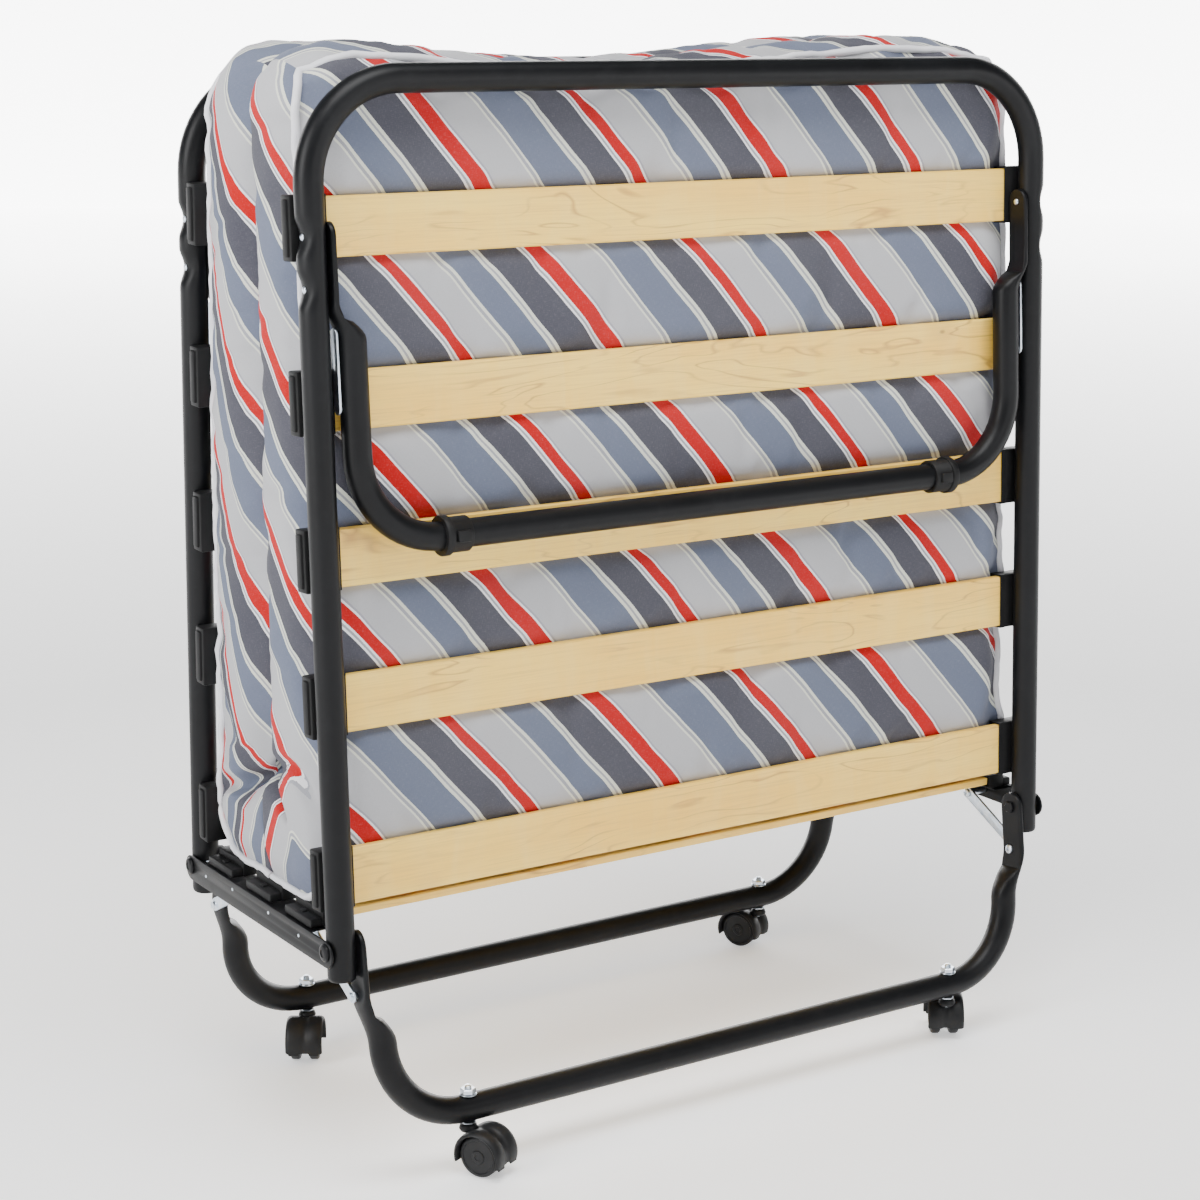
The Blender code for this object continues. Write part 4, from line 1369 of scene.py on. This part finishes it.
def held_points(points):
    """The points that the air can't move: seams, what lies on a slat, the bottom and the inside."""
    across, up, deep = grid.T
    seams = (deep == 0) & ((across == 0) | (across == ACROSS) | (up == ALONG))
    slats = np.zeros(len(grid), dtype=bool)
    height = section_height(points[:, 2])
    for centre in SLAT_HEIGHTS:
        slats |= (np.abs(height - centre) < 0.022) & (deep == 0)
    flat = (up == 0) | (points[:, 2] < 0.30) | (deep == THROUGH)
    return np.nonzero(seams | slats | flat)[0].tolist()


def puff(half):
    """Runs the cloth simulation and returns where the points were and how far each one moved."""
    before = read_points(half.data)
    held = half.vertex_groups.new(name="held")
    held.add(held_points(before), 1.0, "REPLACE")
    modifier = half.modifiers.new("puff", "CLOTH")
    cloth = modifier.settings
    cloth.quality = 5
    cloth.mass = 0.25
    cloth.tension_stiffness = cloth.compression_stiffness = 12
    cloth.shear_stiffness = 4
    cloth.bending_stiffness = 0.6
    cloth.shrink_min = -0.035
    cloth.use_pressure = True
    cloth.uniform_pressure_force = 4.0
    cloth.vertex_group_mass = "held"
    cloth.effector_weights.gravity = 0.0
    modifier.collision_settings.use_collision = False
    modifier.point_cache.frame_start = 1
    modifier.point_cache.frame_end = PUFF_FRAMES
    for number in range(1, PUFF_FRAMES + 1):
        bpy.context.scene.frame_set(number)
    shown = half.evaluated_get(bpy.context.evaluated_depsgraph_get())
    after = read_points(shown.data)
    half.modifiers.remove(modifier)
    half.vertex_groups.remove(held)
    bpy.context.scene.frame_set(1)
    return before, after - before


# %% [markdown]
# Whatever moves the cover, its points stay off the frame: behind the slats and their holders, above
# the slats of the middle section, and on their own half's side of the plane between the halves.

# %% Keeping clear of the frame
LEAST_DEPTH = 0.0146          # behind the tubes' centre plane, between slats
HOLDER_BACK = 0.0312
HOLDER_REACH = 0.3640
MIDDLE_SLAT_TOP = 0.2476
WIDEST = 0.3935


def behind(depth, away, half_height):
    """The depth to keep behind a slat or holder, which slopes off above and below it."""
    return depth - 0.9 * np.clip(away - half_height, 0, 1)


def press_back(points):
    """Keeps a half behind its slats, on its own side of the fold and above the middle slats."""
    x, y, z = points.T.copy()
    depth = (y + HINGE_Y) * math.cos(LEAN) - (z - HINGE_Z) * math.sin(LEAN)
    least = np.full(len(x), LEAST_DEPTH)
    for centre in SLAT_HEIGHTS:
        away = np.abs(section_height(z) - centre)
        least = np.maximum(least, behind(SLAT_BACK + 0.0006, away, 0.0252))
        at_holder = np.maximum(least, behind(HOLDER_BACK, away, 0.0275))
        least = np.where(np.abs(x) > HOLDER_REACH, at_holder, least)
    y = np.where(z > 0.29, y + np.clip(least - depth, 0, 1) / math.cos(LEAN), y)
    y = np.minimum(y, -0.0008)
    z = np.maximum(z, MIDDLE_SLAT_TOP)
    return np.stack([np.clip(x, -WIDEST, WIDEST), y, z], axis=1)


# %% [markdown]
# White piping is sewn into the seam round each half's outer face. It is a thin cord along the
# mattress's own edge: up one side, over the rounded corners and down the other.

# %% The piping
PIPING_RADIUS = 0.0036


def seam_path(points):
    """The places along the outer edge of a half: up one side, across the top and down the other."""
    path = [(0, step, 0) for step in range(ALONG)]
    path += [(step, ALONG, 0) for step in range(ACROSS + 1)]
    path += [(ACROSS, step, 0) for step in range(ALONG - 1, -1, -1)]
    return np.array([points[number_of[spot]] for spot in path])


def make_piping(name, path):
    curve = bpy.data.curves.new(name, "CURVE")
    curve.dimensions = "3D"
    curve.bevel_depth = PIPING_RADIUS
    curve.bevel_resolution = 3
    curve.use_fill_caps = True
    line = curve.splines.new("POLY")
    line.points.add(len(path) - 1)
    for point, place in zip(line.points, path):
        point.co = (*place, 1.0)
    piping = bpy.data.objects.new(name, curve)
    bpy.context.scene.collection.objects.link(piping)
    choose(piping)
    bpy.ops.object.convert(target="MESH")
    piping = bpy.context.object
    piping.data.shade_smooth()
    return piping


# %% [markdown]
# Now both halves are made. Each is modelled on the head side and turned to its own end at last.

# %% Both halves
SEEDS = {"head": 3.7, "foot": 11.2}


def make_half(name, seed, near):
    """One puffed half of the mattress, and the path of its seam."""
    half = half_mesh(name, seed, near)
    before, moved = puff(half)
    length = np.linalg.norm(moved, axis=1, keepdims=True)
    moved *= np.minimum(1.0, LARGEST_MOVE / np.maximum(length, 1e-9))
    print(name, "moved by up to", round(float(length.max()) * 1000, 1), "mm")
    write_points(half.data, before + moved)
    normals = np.array([vert.normal[:] for vert in half.data.vertices])
    points = press_back(pucker(before + moved, normals, seed))
    write_points(half.data, points)
    apply_modifier(half, "SUBSURF", levels=1, render_levels=1)
    write_points(half.data, press_back(read_points(half.data)))
    half.data.shade_smooth()
    return half, seam_path(points)


for end, turn in ENDS.items():
    half, seam = make_half(f"mattress_half_{end}", SEEDS[end], end == "head")
    piping = make_piping(f"mattress_piping_{end}", seam)
    settle(half, turn)
    settle(piping, turn)
    half.data.materials.append(STRIPED[end])
    piping.data.materials.append(WHITE_COTTON)
    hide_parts(f"mattress_{end}")
    if end == "head":
        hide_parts("mattress_middle")
    for piece in (half, piping):
        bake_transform(piece)

# %% [markdown]
# # The studio
# The camera looks down a little on the bed from its left front corner. A pale floor and a white
# backdrop stand behind it, a broad lamp hangs overhead, a second one stands at the left and a weak
# one fills the front. The fill is weak on purpose: the shadows under the bars give the cloth depth.

# %% Camera
CAMERA_TURN = math.radians(-32.85)
CAMERA_RISE = math.radians(13.21)
CAMERA_REACH = 2.4808
LENS = 77.44
FRAME_SHIFT = (-0.0022, 0.0202)
AIM = Vector((-0.0219, 0.0141, 0.4314))
back = Vector((math.sin(CAMERA_TURN) * math.cos(CAMERA_RISE),
               -math.cos(CAMERA_TURN) * math.cos(CAMERA_RISE), math.sin(CAMERA_RISE)))
clear_selection()
bpy.ops.object.camera_add(location=AIM + back * CAMERA_REACH)
camera = bpy.context.object
camera.rotation_euler = (-back).to_track_quat("-Z", "Y").to_euler()
camera.data.lens = LENS
camera.data.sensor_width = 36.0
camera.data.shift_x, camera.data.shift_y = FRAME_SHIFT
bpy.context.scene.camera = camera

# %% [markdown]
# The floor is a wide disc and the backdrop an upright sheet far behind the bed. Both glow faintly,
# and more with distance, so that no line shows where they meet.

# %% Floor and backdrop
FLOOR_GLOW = 0.10
BACKDROP_GLOW = 5.5
FLOOR_RADIUS = 30.0
BACKDROP_SIZE = (26.0, 7.0, 1)
BACKDROP_AWAY = 12.0
FAR_GLOW = 0.92


def pale_paint(name, tone, near_glow):
    """A matt white that glows more and more with distance, so that floor and backdrop meet softly."""
    paint = Paint(name, Roughness=0.9, Specular_IOR_Level=0.1, Emission_Strength=BACKDROP_GLOW)
    place = paint.coordinates()
    speck = paint.noise(place, 3.0, 3.0)
    colour = paint.blend(speck, grey(tone), grey(tone + 0.03))
    x, y, _ = paint.split(place)
    distance = (x * x + y * y).root()
    glow = paint.blend(distance.ramp(1.6, 9.0), grey(near_glow), grey(FAR_GLOW))
    return paint.into(Base_Color=colour, Emission_Color=glow)


clear_selection()
bpy.ops.mesh.primitive_circle_add(vertices=64, radius=FLOOR_RADIUS, fill_type="NGON",
                                  location=(0, 0, -0.0004))
floor = bpy.context.object
floor.name = "studio_floor"
floor.data.materials.append(pale_paint("pale_floor", 0.86, FLOOR_GLOW))
clear_selection()
bpy.ops.mesh.primitive_plane_add(size=1.0)
backdrop = bpy.context.object
backdrop.name = "studio_backdrop"
level_back = back * Vector((1, 1, 0))
backdrop.scale = BACKDROP_SIZE
backdrop.rotation_euler = (-level_back).to_track_quat("-Z", "Y").to_euler()
backdrop.location = Vector((0, 0, BACKDROP_SIZE[1] / 2 - 0.01)) - level_back * BACKDROP_AWAY
backdrop.data.materials.append(pale_paint("white_backdrop", 0.90, FAR_GLOW))

# %% [markdown]
# All three lamps are broad rectangles, so their edges on the tubes and their shadows are soft. The
# world adds a little cool light from everywhere.

# %% Lamps
def soft_light(name, place, aim, size, power):
    """An area lamp that shines from one place at another; power is in watts."""
    clear_selection()
    bpy.ops.object.light_add(type="AREA", location=place)
    light = bpy.context.object
    light.name = name
    light.data.shape = "RECTANGLE"
    light.data.size, light.data.size_y = size
    light.data.energy = power
    light.rotation_euler = (Vector(aim) - Vector(place)).to_track_quat("-Z", "Y").to_euler()


soft_light("left_window", (-3.4, -0.4, 1.9), (0, 0, 0.5), (1.6, 2.2), 124)
soft_light("overhead", (-0.4, -1.1, 3.4), (0, 0, 0.4), (2.2, 1.6), 128)
soft_light("front_fill", (0.9, -3.6, 1.9), (0, 0, 0.5), (2.0, 1.6), 34)
world = bpy.data.worlds.new("studio")
bpy.context.scene.world = world
world.use_nodes = True
sky = world.node_tree.nodes["Background"].inputs
sky["Color"].default_value = (0.96, 0.98, 1.0, 1)
sky["Strength"].default_value = 0.12
